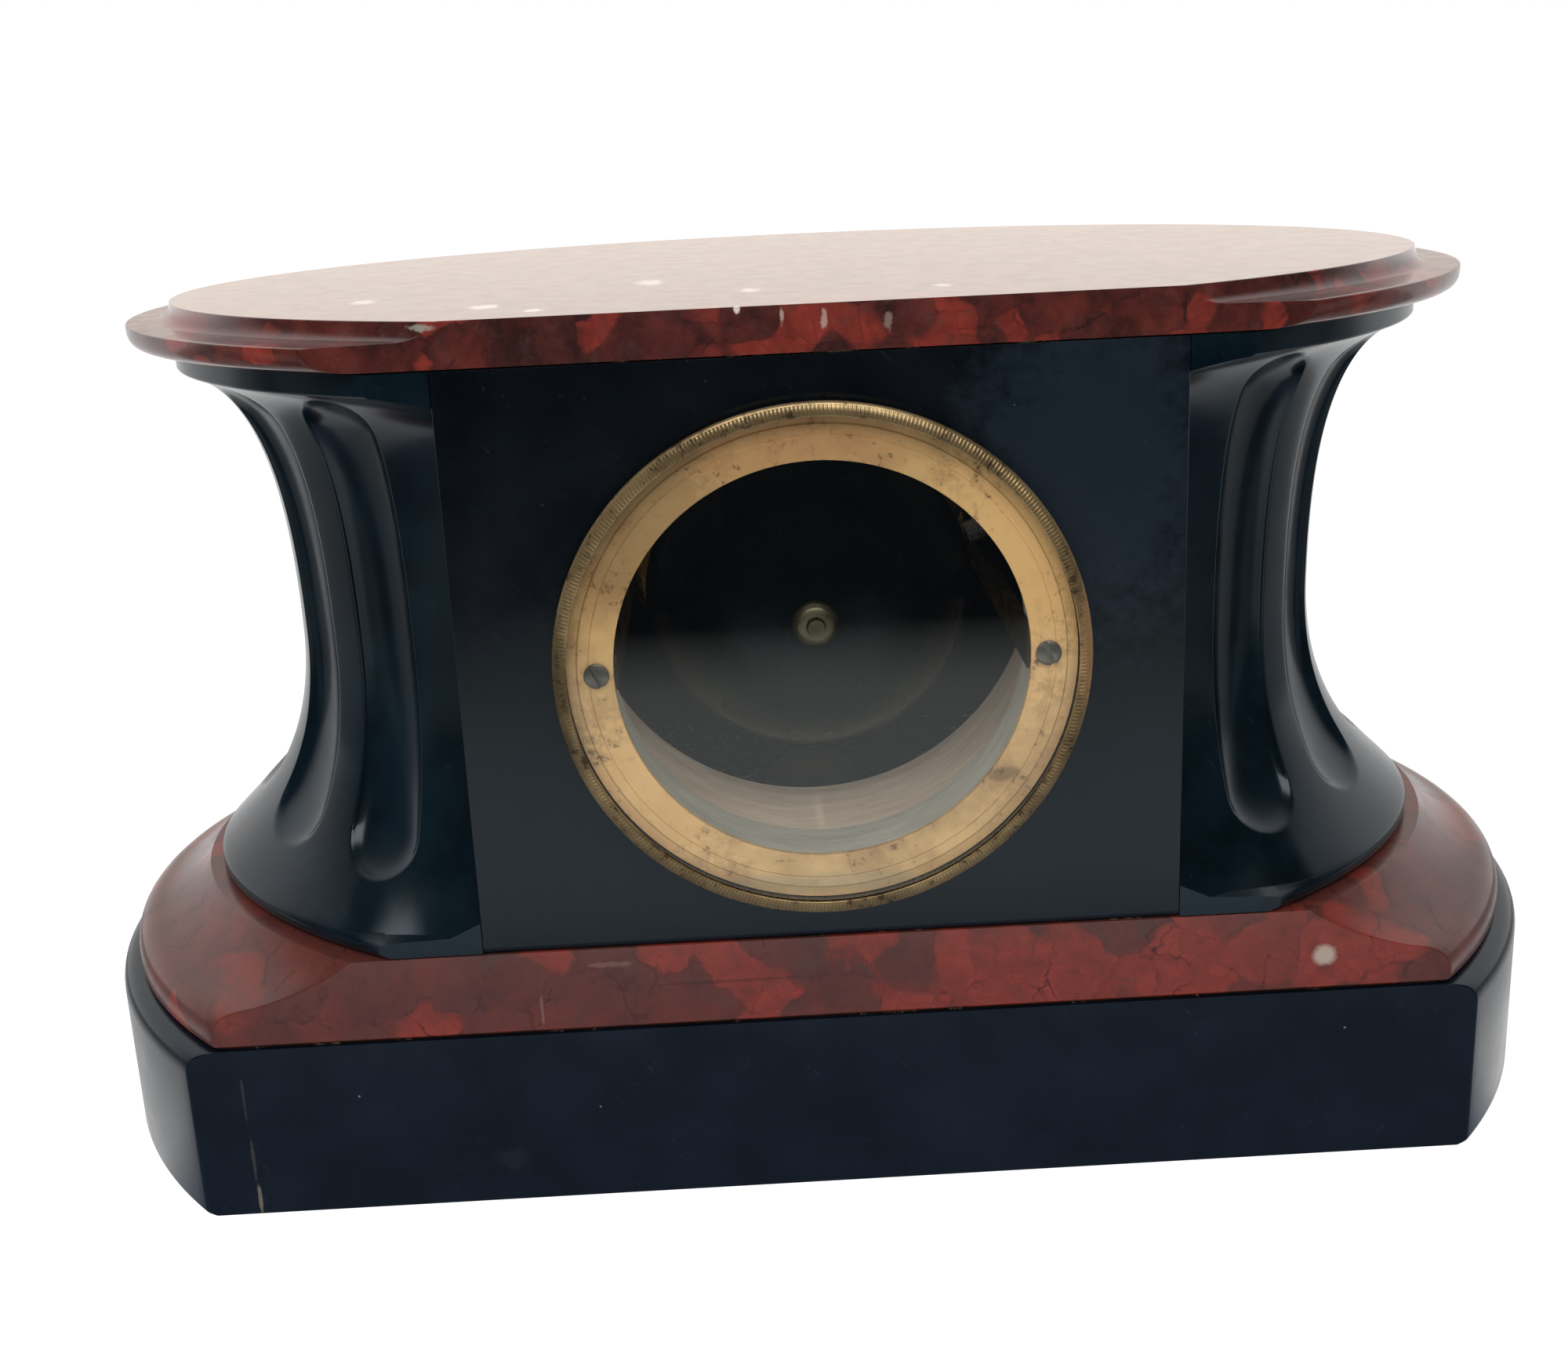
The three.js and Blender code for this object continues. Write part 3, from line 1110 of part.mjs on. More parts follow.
const hourAngle = (HAND_HOUR_AT + HAND_MINUTE_AT / 60) * 30;
const minuteAngle = HAND_MINUTE_AT * 6;
const hourOutline = handOutline(HOUR_HAND_LENGTH, HOUR_PIPE_RADIUS + PIVOT_CLEARANCE, HOUR_MOON_AT);
const minuteOutline = handOutline(MINUTE_HAND_LENGTH, CANNON_RADIUS + PIVOT_CLEARANCE, MINUTE_MOON_AT);
piece('hour_hand', hand(hourOutline, hourHandFront, hourAngle), bluedSteel);
piece('minute_hand', hand(minuteOutline, minuteHandFront, minuteAngle), bluedSteel);
piece('hand_collet', turned([
  [ARBOR_RADIUS + SEAT_GAP, handsFront], [COLLET_RADIUS / 2, handsFront],
  [COLLET_RADIUS, minuteHandFront - RUNNING_GAP], [COLLET_RADIUS, minuteHandFront - SEAT_GAP],
  [ARBOR_RADIUS + SEAT_GAP, minuteHandFront - SEAT_GAP],
], SMALL_SIDES), brass);

// Strike train: pin wheel, locking wheel and fly
piece('pin_wheel', join(arbor(pinArbor), pinion(pinArbor, BARREL_MODULE, strikeBarrel, beside(strikeRim)),
  wheel(pinArbor, WHEEL_TEETH, PIN_MODULE, towards(pinArbor, lockingArbor), frontWheels)), brass);
piece('locking_wheel', join(arbor(lockingArbor),
  pinion(lockingArbor, PIN_MODULE, pinArbor, beside(frontWheels)),
  wheel(lockingArbor, WHEEL_TEETH, LOCKING_MODULE, towards(lockingArbor, flyArbor), lockingFront)), brass);

function fly() {
  const y0 = lockingFront + FLY_SETBACK;
  const height = axisHeight + flyArbor.z;
  const blade = box(flyArbor.x - FLY_HALF_WIDTH, flyArbor.x + FLY_HALF_WIDTH, y0, y0 + FLY_LENGTH,
    height - FLY_THICKNESS / 2, height + FLY_THICKNESS / 2);
  return join(arbor(flyArbor), pinion(flyArbor, LOCKING_MODULE, lockingArbor, beside(lockingFront)), blade);
}

piece('fly', fly(), brass);

// Suspension cock, suspension spring and pendulum

function suspensionCock() {
  const front = plateBack + SEAT_GAP;
  const barFront = pendulumPlane - COCK_BAR / 2;
  const barBack = pendulumPlane + COCK_BAR / 2;
  const foot = suspension + RUNNING_GAP;
  const leg = (side) => sideBox(side, COCK_HALF_SPAN - COCK_BAR, COCK_HALF_SPAN, front, barBack,
    foot - COCK_FOOT_DROP, foot + COCK_HEIGHT);
  const bar = box(-COCK_HALF_SPAN, COCK_HALF_SPAN, barFront, barBack, foot, foot + COCK_HEIGHT);
  return join(bar, leg(-1), leg(1));
}

const halfStrip = SUSPENSION_THICKNESS / 2;

function uprightRod(radius, z0, z1, sides = PIVOT_SIDES) {
  return new THREE.CylinderGeometry(radius, radius, z1 - z0, sides)
    .rotateX(Math.PI / 2)
    .translate(0, pendulumPlane, (z0 + z1) / 2);
}

function pendulumBob() {
  const half = BOB_THICKNESS / 2;
  const lens = turned([
    [0, pendulumPlane - half], [BOB_RADIUS * 0.5, pendulumPlane - half * 0.85],
    [BOB_RADIUS * 0.85, pendulumPlane - half * 0.5], [BOB_RADIUS, pendulumPlane - half * 0.15],
    [BOB_RADIUS, pendulumPlane + half * 0.15], [BOB_RADIUS * 0.85, pendulumPlane + half * 0.5],
    [BOB_RADIUS * 0.5, pendulumPlane + half * 0.85], [0, pendulumPlane + half],
  ], DRUM_SIDES, 0, bobHeight - axisHeight);
  const reach = BOB_RADIUS + OVERRUN;
  return cut(lens, uprightRod(ROD_RADIUS + RUNNING_GAP, bobHeight - reach, bobHeight + reach));
}

piece('suspension_cock', suspensionCock(), brass);
piece('suspension_spring', box(-SUSPENSION_WIDTH / 2, SUSPENSION_WIDTH / 2, pendulumPlane - halfStrip,
  pendulumPlane + halfStrip, springFoot, suspension), steel);
piece('pendulum_rod', uprightRod(ROD_RADIUS, nutFoot - OVERRUN, springFoot - RUNNING_GAP), steel);
piece('pendulum_bob', pendulumBob(), brass);
piece('rating_nut', cut(uprightRod(RATING_NUT_RADIUS, nutFoot, nutTop, SMALL_SIDES),
  uprightRod(ROD_RADIUS + RUNNING_GAP, nutFoot - OVERRUN, nutTop + OVERRUN)), brass);

// Hammer: its arbor runs between the plates, and a bent wire carries the head to the bell's rim
function hammer() {
  const headY = bellMouth + HAMMER_HEAD_RADIUS;
  const head = polar(centre, BELL_RADIUS + HAMMER_GAP + HAMMER_HEAD_LENGTH / 2, HAMMER_STRIKES_AT);
  const arborBack = plateBack + HAMMER_WIRE_SETBACK / 2;
  const start = new THREE.Vector3(hammerArbor.x, arborBack, axisHeight + hammerArbor.z);
  const turn = new THREE.Vector3(head.x, plateBack + HAMMER_WIRE_SETBACK, axisHeight + head.z);
  const end = turn.clone().setY(headY);
  const middle = turn.clone().lerp(end, 0.5);
  const extrudePath = new THREE.CatmullRomCurve3([start, turn, middle, end], false, 'centripetal');
  const section = roundOutline(ARBOR_RADIUS, PIVOT_SIDES);
  const lean = THREE.MathUtils.degToRad(HAMMER_STRIKES_AT - 90);
  return join(
    arbor(hammerArbor, plateFront, arborBack),
    new THREE.ExtrudeGeometry(section, { steps: 8, bevelEnabled: false, extrudePath }),
    new THREE.CylinderGeometry(HAMMER_HEAD_RADIUS, HAMMER_HEAD_RADIUS, HAMMER_HEAD_LENGTH, SMALL_SIDES)
      .rotateX(Math.PI / 2)
      .rotateY(-lean)
      .translate(end.x, headY, end.z),
  );
}

// Bell: a bronze dome held at its top by the stand and a nut
function bell() {
  const dome = (radius, depth, top) => {
    const path = new THREE.Path();
    path.moveTo(STAND_RADIUS, top);
    path.bezierCurveTo(radius * 0.62, top, radius * 0.88, top - depth * 0.38, radius, top - depth);
    return path.getPoints(5).map((point) => [point.x, point.y]);
  };
  const outside = dome(BELL_RADIUS, BELL_DEPTH, bellTop);
  const inside = dome(BELL_RADIUS - BELL_WALL, BELL_DEPTH - BELL_WALL * 0.8, bellTop - BELL_WALL).reverse();
  inside[0][1] = bellMouth;
  return turned([...outside, ...inside], BELL_SIDES);
}

function bellStand() {
  const foot = new THREE.Vector3(STAND_FOOT_ACROSS, plateBack + SEAT_GAP, axisHeight - STAND_FOOT_DROP);
  const rise = foot.clone().setY(pendulumPlane + BOB_THICKNESS + STAND_RADIUS);
  const neck = new THREE.Vector3(0, bellMouth - STAND_RADIUS, axisHeight);
  const shoulder = neck.clone().setY(bellTop - BELL_WALL - STAND_COLLAR);
  const tip = bellTop + BELL_NUT_HEIGHT + STAND_COLLAR / 2;
  const path = new THREE.CurvePath();
  path.add(new THREE.LineCurve3(foot, rise));
  path.add(new THREE.CubicBezierCurve3(rise, rise.clone().setY(neck.y), neck.clone().setY(rise.y), neck));
  path.add(new THREE.LineCurve3(neck, shoulder));
  const arm = new THREE.ExtrudeGeometry(roundOutline(STAND_RADIUS, PIVOT_SIDES),
    { steps: 14, bevelEnabled: false, extrudePath: path });
  return join(arm,
    rod(STAND_RADIUS + STAND_COLLAR, foot.y, foot.y + STAND_COLLAR, foot.x, foot.z - axisHeight),
    rod(STAND_RADIUS + STAND_COLLAR, shoulder.y - OVERRUN, shoulder.y + STAND_COLLAR - RUNNING_GAP),
    rod(STAND_RADIUS - RUNNING_GAP, shoulder.y, tip),
  );
}

piece('hammer', hammer(), steel);
piece('bell_stand', bellStand(), steel);
piece('bell', bell(), bellBronze);
piece('bell_nut', turned([
  [STAND_RADIUS, bellTop + SEAT_GAP], [BELL_NUT_RADIUS, bellTop + SEAT_GAP],
  [BELL_NUT_RADIUS, bellTop + BELL_NUT_HEIGHT / 2],
  [BELL_NUT_RADIUS - BELL_NUT_HEIGHT / 2, bellTop + BELL_NUT_HEIGHT],
  [STAND_RADIUS, bellTop + BELL_NUT_HEIGHT],
], SMALL_SIDES), steel);

export default clock;
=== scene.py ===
import math

import bmesh
import bpy
from mathutils import Matrix, Vector


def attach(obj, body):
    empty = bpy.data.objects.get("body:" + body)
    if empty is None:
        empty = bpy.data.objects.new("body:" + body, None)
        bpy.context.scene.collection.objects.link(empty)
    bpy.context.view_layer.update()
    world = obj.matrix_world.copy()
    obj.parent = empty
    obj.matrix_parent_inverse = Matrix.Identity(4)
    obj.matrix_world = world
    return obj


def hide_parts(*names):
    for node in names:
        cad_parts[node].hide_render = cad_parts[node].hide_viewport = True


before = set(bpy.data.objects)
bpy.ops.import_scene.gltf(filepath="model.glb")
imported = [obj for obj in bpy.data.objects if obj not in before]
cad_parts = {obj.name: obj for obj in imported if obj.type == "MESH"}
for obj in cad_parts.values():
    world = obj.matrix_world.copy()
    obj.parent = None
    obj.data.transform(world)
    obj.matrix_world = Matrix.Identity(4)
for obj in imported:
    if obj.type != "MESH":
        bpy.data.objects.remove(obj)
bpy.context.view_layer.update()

# Plinth: the block the clock stands on, sawn from fine black marble and polished. Its plan is an oval
# with the back cut off flat; the top edge is rubbed round and the arrises are eased by hand.
MM = 0.001
OVAL = (135.5, 82.5)  # half length and half depth of the oval at the body's foot
BACK = 62.4  # plane of the flat back
PLINTH_REACH = 24  # beyond the body's foot
PLINTH_TOP = 37.4
PLINTH_ROUND = 4.8
PLINTH_FOOT = (1.2, 0.9)  # width and height of its worn lower edge
ARRIS = 0.6  # rubbed width of an edge between two faces of a stone
CREASE = 35  # degrees between two faces from which an edge shows


def linear(code):
    """A colour written as sRGB hex, as linear RGBA."""
    parts = [int(code[k:k + 2], 16) / 255 for k in (1, 3, 5)]
    return [c / 12.92 if c <= 0.04045 else ((c + 0.055) / 1.055) ** 2.4 for c in parts] + [1]


def feed(tree, node, inputs):
    """Fills a node's inputs: a socket or a node's first output is linked, and any other value is set."""
    for key, value in inputs.items():
        if isinstance(value, bpy.types.Node):
            value = value.outputs[0]
        if isinstance(value, bpy.types.NodeSocket):
            tree.links.new(value, node.inputs[key])
        else:
            node.inputs[key].default_value = value


def add(tree, kind, inputs=(), **settings):
    """Adds a node with its settings and its inputs."""
    node = tree.nodes.new(kind)
    for name, value in settings.items():
        setattr(node, name, value)
    feed(tree, node, dict(inputs))
    return node


def finish_named(name, **sockets):
    """A new material, its tree, its shader with the constant sockets set, and the place on the piece."""
    finish = bpy.data.materials.new(name)
    finish.use_nodes = True
    tree = finish.node_tree
    shader = tree.nodes["Principled BSDF"]
    for socket, value in sockets.items():
        shader.inputs[socket.replace("_", " ")].default_value = value
    return finish, tree, shader, add(tree, "ShaderNodeTexCoord").outputs["Object"]


def layered(tree, colour, layers):
    """Lays shades over a colour one by one, each as strongly as its mask says."""
    for mask, shade in layers:
        blend = add(tree, "ShaderNodeMix", {0: mask, 6: colour, 7: linear(shade)}, data_type="RGBA")
        colour = blend.outputs[2]
    return colour


def mottled(tree, spot, width, detail, crumbly, span, first, second):
    """Clouds of one shade in another: their noise, their mask and the colour they make."""
    noise = add(tree, "ShaderNodeTexNoise",
                {"Vector": spot, "Scale": 1 / (width * MM), "Detail": detail, "Roughness": crumbly})
    mask = add(tree, "ShaderNodeMapRange", {0: noise, 1: span[0], 2: span[1]})
    return noise, mask, layered(tree, linear(first), [(mask, second)])


def blotch(tree, spot, ragged, place, reach, strength, torn=2.0):
    """One ragged mark on a stone or metal: its strength inside it and nothing outside."""
    apart = add(tree, "ShaderNodeVectorMath", {0: spot, 1: [c * MM for c in place]}, operation="SUBTRACT")
    shrink = [1 / (c * MM) for c in reach]
    shrunk = add(tree, "ShaderNodeVectorMath", {0: apart, 1: shrink}, operation="MULTIPLY")
    away = add(tree, "ShaderNodeVectorMath", {0: shrunk}, operation="LENGTH").outputs["Value"]
    edge = add(tree, "ShaderNodeMath", {0: ragged, 1: torn, 2: away}, operation="MULTIPLY_ADD")
    return add(tree, "ShaderNodeMapRange", {0: edge, 1: torn / 2 + 0.6, 2: torn / 2 + 1.1, 3: strength, 4: 0})


def black_marble(name, deep, cloudy, polish, dust, smears_and_sheen=()):
    """Black marble: a blue cast, cloudy polish, hair scratches, specks of dust, old smears and painted sheen.
    """
    finish, tree, shader, spot = finish_named(name, IOR=1.5, Specular_Tint=linear("#e2edf7"))
    _, clouded, colour = mottled(tree, spot, 24, 5, 0.62, (0.38, 0.66), deep, cloudy)
    pits = add(tree, "ShaderNodeTexNoise",
               {"Vector": spot, "Scale": 1 / (3.2 * MM), "Detail": 4, "Roughness": 0.65})
    grains = add(tree, "ShaderNodeTexVoronoi", {"Vector": spot, "Scale": 1 / (6 * MM)}).outputs
    grain = add(tree, "ShaderNodeMapRange", {0: grains["Distance"], 1: 0.02, 2: 0.05, 3: 0.5, 4: 0})
    chance = add(tree, "ShaderNodeSeparateColor", {0: grains["Color"]})
    rare = add(tree, "ShaderNodeMath", {0: chance, 1: 1 - dust}, operation="GREATER_THAN")
    pale = add(tree, "ShaderNodeMath", {0: grain, 1: rare}, operation="MULTIPLY")
    scratched = 0
    for lean, width, share in (((0.2, 0.7, 0.5), 0.9, 0.05), ((0.9, -1.1, 1.3), 1.1, 0.06)):
        combed = add(tree, "ShaderNodeMapping", {"Vector": spot, "Rotation": lean, "Scale": (1, 1, 9)},
                     vector_type="TEXTURE")
        hair = add(tree, "ShaderNodeTexNoise", {"Vector": combed, "Scale": 1 / (width * MM), "Detail": 1})
        scratch = add(tree, "ShaderNodeMapRange", {0: hair, 1: 0.73, 2: 0.80, 3: 0, 4: share})
        scratched = add(tree, "ShaderNodeMath", {0: scratched, 1: scratch}, operation="ADD")
    layers = [(pale, "#8a9094"), (scratched, "#454f55")]
    layers += [(blotch(tree, spot, pits, *where), shade) for shade, *where in smears_and_sheen]
    dull = add(tree, "ShaderNodeMapRange", {0: clouded, 3: polish, 4: polish + 0.08})
    rough = add(tree, "ShaderNodeMath", {0: dull, 1: scratched}, operation="ADD")
    bump = add(tree, "ShaderNodeBump", {"Strength": 0.05, "Distance": 0.3 * MM, "Height": pits})
    feed(tree, shader, {"Base Color": layered(tree, colour, layers), "Roughness": rough, "Normal": bump})
    return finish


def curve(*points, steps=10):
    """Points along a Bezier curve, after its first point."""
    line = []
    for k in range(1, steps + 1):
        row = [Vector(point) for point in points]
        while len(row) > 1:
            row = [a.lerp(b, k / steps) for a, b in zip(row, row[1:])]
        line.append(tuple(row[0]))
    return line


def eased(profile, radius, closed=False, steps=4):
    """A profile with its corners rounded, as rubbing or turning leaves them."""
    points = [Vector(point) for point in profile]
    line = []
    for k, here in enumerate(points):
        before, after = points[k - 1] - here, points[(k + 1) % len(points)] - here
        end = not closed and k in (0, len(points) - 1)
        if end or before.angle(after) > math.radians(150):
            line.append(tuple(here))
            continue
        reach = min(radius, before.length * 0.45, after.length * 0.45)
        start = here + before.normalized() * reach
        line.append(tuple(start))
        line += curve(start, here, here + after.normalized() * reach, steps=steps)
    return line


def oval(reach, z, flat=BACK, size=OVAL, steps=220):
    """Outline of an oval some way beyond its size, its back cut off flat and the back corners rubbed."""
    half_length, half_depth = size[0] + reach, size[1] + reach
    turn = math.asin(flat / half_depth)
    corner = Vector((half_length * math.cos(turn), flat, z))
    trim = ARRIS / math.hypot(half_length * math.sin(turn), half_depth * math.cos(turn))
    first, last = math.pi - turn + trim, 2 * math.pi + turn - trim
    arc = []
    for k in range(steps + 1):
        angle = first + (last - first) * k / steps
        arc.append((half_length * math.cos(angle), half_depth * math.sin(angle), z))
    mirrored = Vector((-corner.x, flat, z))
    inward = Vector((ARRIS, 0, 0))
    return (arc + curve(arc[-1], corner, corner - inward, steps=4)
            + [tuple(mirrored + inward)] + curve(mirrored + inward, mirrored, arc[0], steps=4)[:-1])


def loft(shape, loops, ring=False):
    """Joins loops of equally many points into a closed skin, capped or joined end to start."""
    rows = [[shape.verts.new(Vector(point) * MM) for point in loop] for loop in loops]
    for low, high in list(zip(rows, rows[1:])) + ([(rows[-1], rows[0])] if ring else []):
        for k in range(len(low)):
            shape.faces.new((low[k - 1], low[k], high[k], high[k - 1]))
    if not ring:
        shape.faces.new(rows[0])
        shape.faces.new(rows[-1])


def shaded(mesh, crease):
    """Shades a mesh smooth up to its creases, and flat where it is sawn square to the clock's axis."""
    mesh.shade_smooth()
    mesh.set_sharp_from_angle(angle=math.radians(crease))
    for face in mesh.polygons:
        face.use_smooth = abs(face.normal.y) < 0.9999


def made(name, shape, crease=CREASE):
    """Closes a shape's seams, turns its faces outwards and makes it an object."""
    bmesh.ops.remove_doubles(shape, verts=shape.verts, dist=1e-7)
    bmesh.ops.recalc_face_normals(shape, faces=shape.faces)
    mesh = bpy.data.meshes.new(name)
    shape.to_mesh(mesh)
    shape.free()
    shaded(mesh, crease)
    piece = bpy.data.objects.new(name, mesh)
    bpy.context.collection.objects.link(piece)
    return piece


def lofted(name, *skins, ring=False, crease=CREASE):
    """A piece made of one closed skin or several."""
    shape = bmesh.new()
    for loops in skins:
        loft(shape, loops, ring)
    return made(name, shape, crease)


def settle(piece, finish, slot, body, *nodes):
    """Gives a piece its finish and its place on the clock."""
    piece.data.materials.clear()
    piece.data.materials.append(finish)
    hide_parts(*nodes)
    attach(piece, body)


plinth_black = black_marble("waxed_black_marble", "#040a11", "#09121b", 0.20, 0.10, [
    ("#3b4046", (118.8, BACK, 27), (0.3, 3, 6), 0.3), ("#4d4a40", (118.5, BACK, 13), (0.3, 3, 6), 0.35),
    ("#7d7460", (118.2, BACK, 3), (0.4, 3, 3.5), 0.5), ("#262c30", (66.7, BACK, 9), (4, 3, 3), 0.2)])
shoulder = PLINTH_TOP - PLINTH_ROUND
profile = [(PLINTH_REACH - PLINTH_FOOT[0], 0), (PLINTH_REACH, PLINTH_FOOT[1]), (PLINTH_REACH, shoulder)]
profile += curve((PLINTH_REACH, shoulder), (PLINTH_REACH, PLINTH_TOP),
                 (PLINTH_REACH - PLINTH_ROUND, PLINTH_TOP))
plinth = lofted("plinth_block", [oval(reach, z) for reach, z in eased(profile, 0.8)])
settle(plinth, plinth_black, "slate", "case", "plinth")

# Base moulding: one slab of veined red marble bedded on the plinth, worked round the oval to a hollow
# above a round. A square well is cut through it for the pendulum bob.
MOULDING = (37.7, 55.5)  # foot and head
LIP = (20, 40.0)  # reach beyond the body's foot, and height where the round starts
QUIRK = (15, 46.5)  # the same where the round turns into the hollow
WELL = (-26, 26, -9, 13, 30, 70)  # sides, front and back, and heights of the cut
GROOVE = 0.8  # width of the dark joint over the plinth
WAXED = 180.3  # the height above which the wax has been kept up, which is the flat top


def evaluated(piece):
    """A piece as its modifiers or its curve leave it, as a plain mesh."""
    bpy.context.view_layer.update()
    return bpy.data.meshes.new_from_object(piece.evaluated_get(bpy.context.evaluated_depsgraph_get()))


def carve(piece, *cutters):
    """Cuts other shapes out of a piece and leaves a plain mesh."""
    for cutter in cutters:
        tool = piece.modifiers.new("carve", "BOOLEAN")
        tool.object, tool.operation, tool.solver = cutter, "DIFFERENCE", "EXACT"
    mesh = evaluated(piece)
    piece.modifiers.clear()
    piece.data = mesh
    shaded(mesh, CREASE)
    for cutter in cutters:
        bpy.data.objects.remove(cutter)
    return piece


def bar(x0, x1, y0, y1, z0, z1):
    """The foot and head of a plain bar, as a cutter or a part of a piece."""
    return [[(x0, y0, z), (x1, y0, z), (x1, y1, z), (x0, y1, z)] for z in (z0, z1)]


def red_marble(name, wax, dark, ground, bright, cell, patches=(), marks=()):
    """Red marble: clouded ground, bright patches, grey mottling, a net of dark veins and white chips."""
    finish, tree, shader, spot = finish_named(name, IOR=1.5, Coat_Roughness=0.07, Coat_IOR=1.6)
    height = add(tree, "ShaderNodeSeparateXYZ", {0: spot}).outputs[2]
    waxed = add(tree, "ShaderNodeMapRange",
                {0: height, 1: (WAXED - 2) * MM, 2: WAXED * MM, 3: 0.3 * wax, 4: wax})
    stir = add(tree, "ShaderNodeTexNoise",
               {"Vector": spot, "Scale": 1 / (13 * MM), "Detail": 5, "Roughness": 0.6})
    drift = add(tree, "ShaderNodeVectorMath", {0: stir.outputs["Color"], 1: (0.9 * cell * MM,) * 3, 2: spot},
                operation="MULTIPLY_ADD")
    _, _, colour = mottled(tree, drift, 1.3 * cell, 7, 0.66, (0.36, 0.64), dark, ground)
    worn = add(tree, "ShaderNodeTexNoise",
               {"Vector": drift, "Scale": 1 / (5 * MM), "Detail": 5, "Roughness": 0.65})
    cells = add(tree, "ShaderNodeTexVoronoi", {"Vector": drift, "Scale": 1 / (cell * MM), "Smoothness": 0.4},
                feature="SMOOTH_F1")
    odds = add(tree, "ShaderNodeSeparateColor", {0: cells.outputs["Color"]})
    for place, reach in patches:
        away = add(tree, "ShaderNodeVectorMath", {0: spot, 1: [c * MM for c in place]}, operation="DISTANCE")
        near = add(tree, "ShaderNodeMapRange",
                   {0: away.outputs["Value"], 1: 0.3 * reach * MM, 2: reach * MM, 3: 0.4, 4: 0})
        odds = add(tree, "ShaderNodeMath", {0: odds, 1: near}, operation="ADD")
    lit = add(tree, "ShaderNodeMapRange", {0: odds, 1: 0.62, 2: 0.86})
    uneven = add(tree, "ShaderNodeMapRange", {0: worn, 1: 0.30, 2: 0.60, 3: 0.25, 4: 1})
    patch = add(tree, "ShaderNodeMath", {0: lit, 1: uneven}, operation="MULTIPLY")
    ash = add(tree, "ShaderNodeTexNoise",
              {"Vector": drift, "Scale": 1 / (0.6 * cell * MM), "Detail": 6, "Roughness": 0.7})
    ashen = add(tree, "ShaderNodeMapRange", {0: ash, 1: 0.55, 2: 0.75, 3: 0, 4: 0.7})
    layers = [(patch, bright), (ashen, "#43302c")]
    broken = add(tree, "ShaderNodeMapRange", {0: worn, 1: 0.44, 2: 0.60})
    for width, line, shade, share in ((cell, 0.04, "#351612", 0.6), (38, 0.008, "#200e0d", 0.8),
                                      (7, 0.03, "#3a1814", 0.45)):
        net = add(tree, "ShaderNodeTexVoronoi", {"Vector": drift, "Scale": 1 / (width * MM)},
                  feature="DISTANCE_TO_EDGE")
        vein = add(tree, "ShaderNodeMapRange", {0: net.outputs["Distance"], 1: 0, 2: line, 3: share, 4: 0})
        layers.append((add(tree, "ShaderNodeMath", {0: vein, 1: broken}, operation="MULTIPLY"), shade))
    frayed = add(tree, "ShaderNodeTexNoise",
                 {"Vector": spot, "Scale": 1 / (1.4 * MM), "Detail": 3, "Roughness": 0.6})
    layers += [(blotch(tree, spot, frayed, *where), shade) for shade, *where in marks]
    rough = add(tree, "ShaderNodeMapRange", {0: worn, 1: 0.3, 2: 0.7, 3: 0.14, 4: 0.28})
    bump = add(tree, "ShaderNodeBump", {"Strength": 0.05, "Distance": 0.3 * MM, "Height": worn})
    feed(tree, shader, {"Base Color": layered(tree, colour, layers), "Roughness": rough, "Normal": bump,
                        "Coat Weight": waxed})
    return finish


base_marble = red_marble(
    "polished_red_marble_base", 0.08, "#412521", "#592a23", "#742b21", 13,
    patches=[((-12, BACK, 47), 30), ((-52, BACK, 47), 34)],
    marks=[("#9d8f83", (-97.8, BACK, 45.4), (2.6, 3, 2.4), 0.85, 0.5),
           ("#7d6358", (44, BACK, 52), (5, 3, 0.6), 0.3),
           ("#2b1311", (20, BACK, 47), (18, 3, 0.4), 0.4), ("#857467", (58, BACK, 43), (0.35, 3, 4), 0.25)])
profile = [(LIP[0] - GROOVE, MOULDING[0]), (LIP[0], MOULDING[0] + GROOVE), LIP]
profile += curve(LIP, (20, 43.25), (18.5, 45.8), QUIRK)
profile += curve(QUIRK, (11.04, 47.46), (6, 51.06), (3, MOULDING[1]), steps=16)
loops = [oval(reach, z, BACK - max(0, MOULDING[0] + GROOVE - z)) for reach, z in eased(profile, 0.5)]
moulding = carve(lofted("base_moulding_slab", loops), lofted("well", bar(*WELL)))
settle(moulding, base_marble, "red_marble", "case", "base_moulding")

# Bedding: three thin beds of lime cement that hold the stones together, dark with age and dirt and ochre
# where a little of it still shows in the joints.
BODY = (55.8, 171.5)  # foot and head of the body
SLAB_FOOT = 171.8
BED_INSET = 0.7  # how far a bed lies within the flat back

cement, tree, shader, spot = finish_named("old_lime_cement", Roughness=0.95, Specular_IOR_Level=0.2)
crumbs, _, colour = mottled(tree, spot, 9, 6, 0.7, (0.56, 0.66), "#0d0a09", "#8d7a5c")
bump = add(tree, "ShaderNodeBump", {"Strength": 0.5, "Distance": 0.2 * MM, "Height": crumbs})
feed(tree, shader, {"Base Color": colour, "Normal": bump})
beds = []
for reach, *levels in ((18.7, PLINTH_TOP, MOULDING[0]), (-0.7, MOULDING[1], BODY[0]),
                       (-5.2, BODY[1], SLAB_FOOT)):
    beds.append([[(x, y - BED_INSET, z) for x, y, z in oval(reach, level)] for level in levels])
bedding = carve(lofted("cement_beds", *beds), lofted("well", bar(*WELL)))
settle(bedding, cement, "plaster", "case")

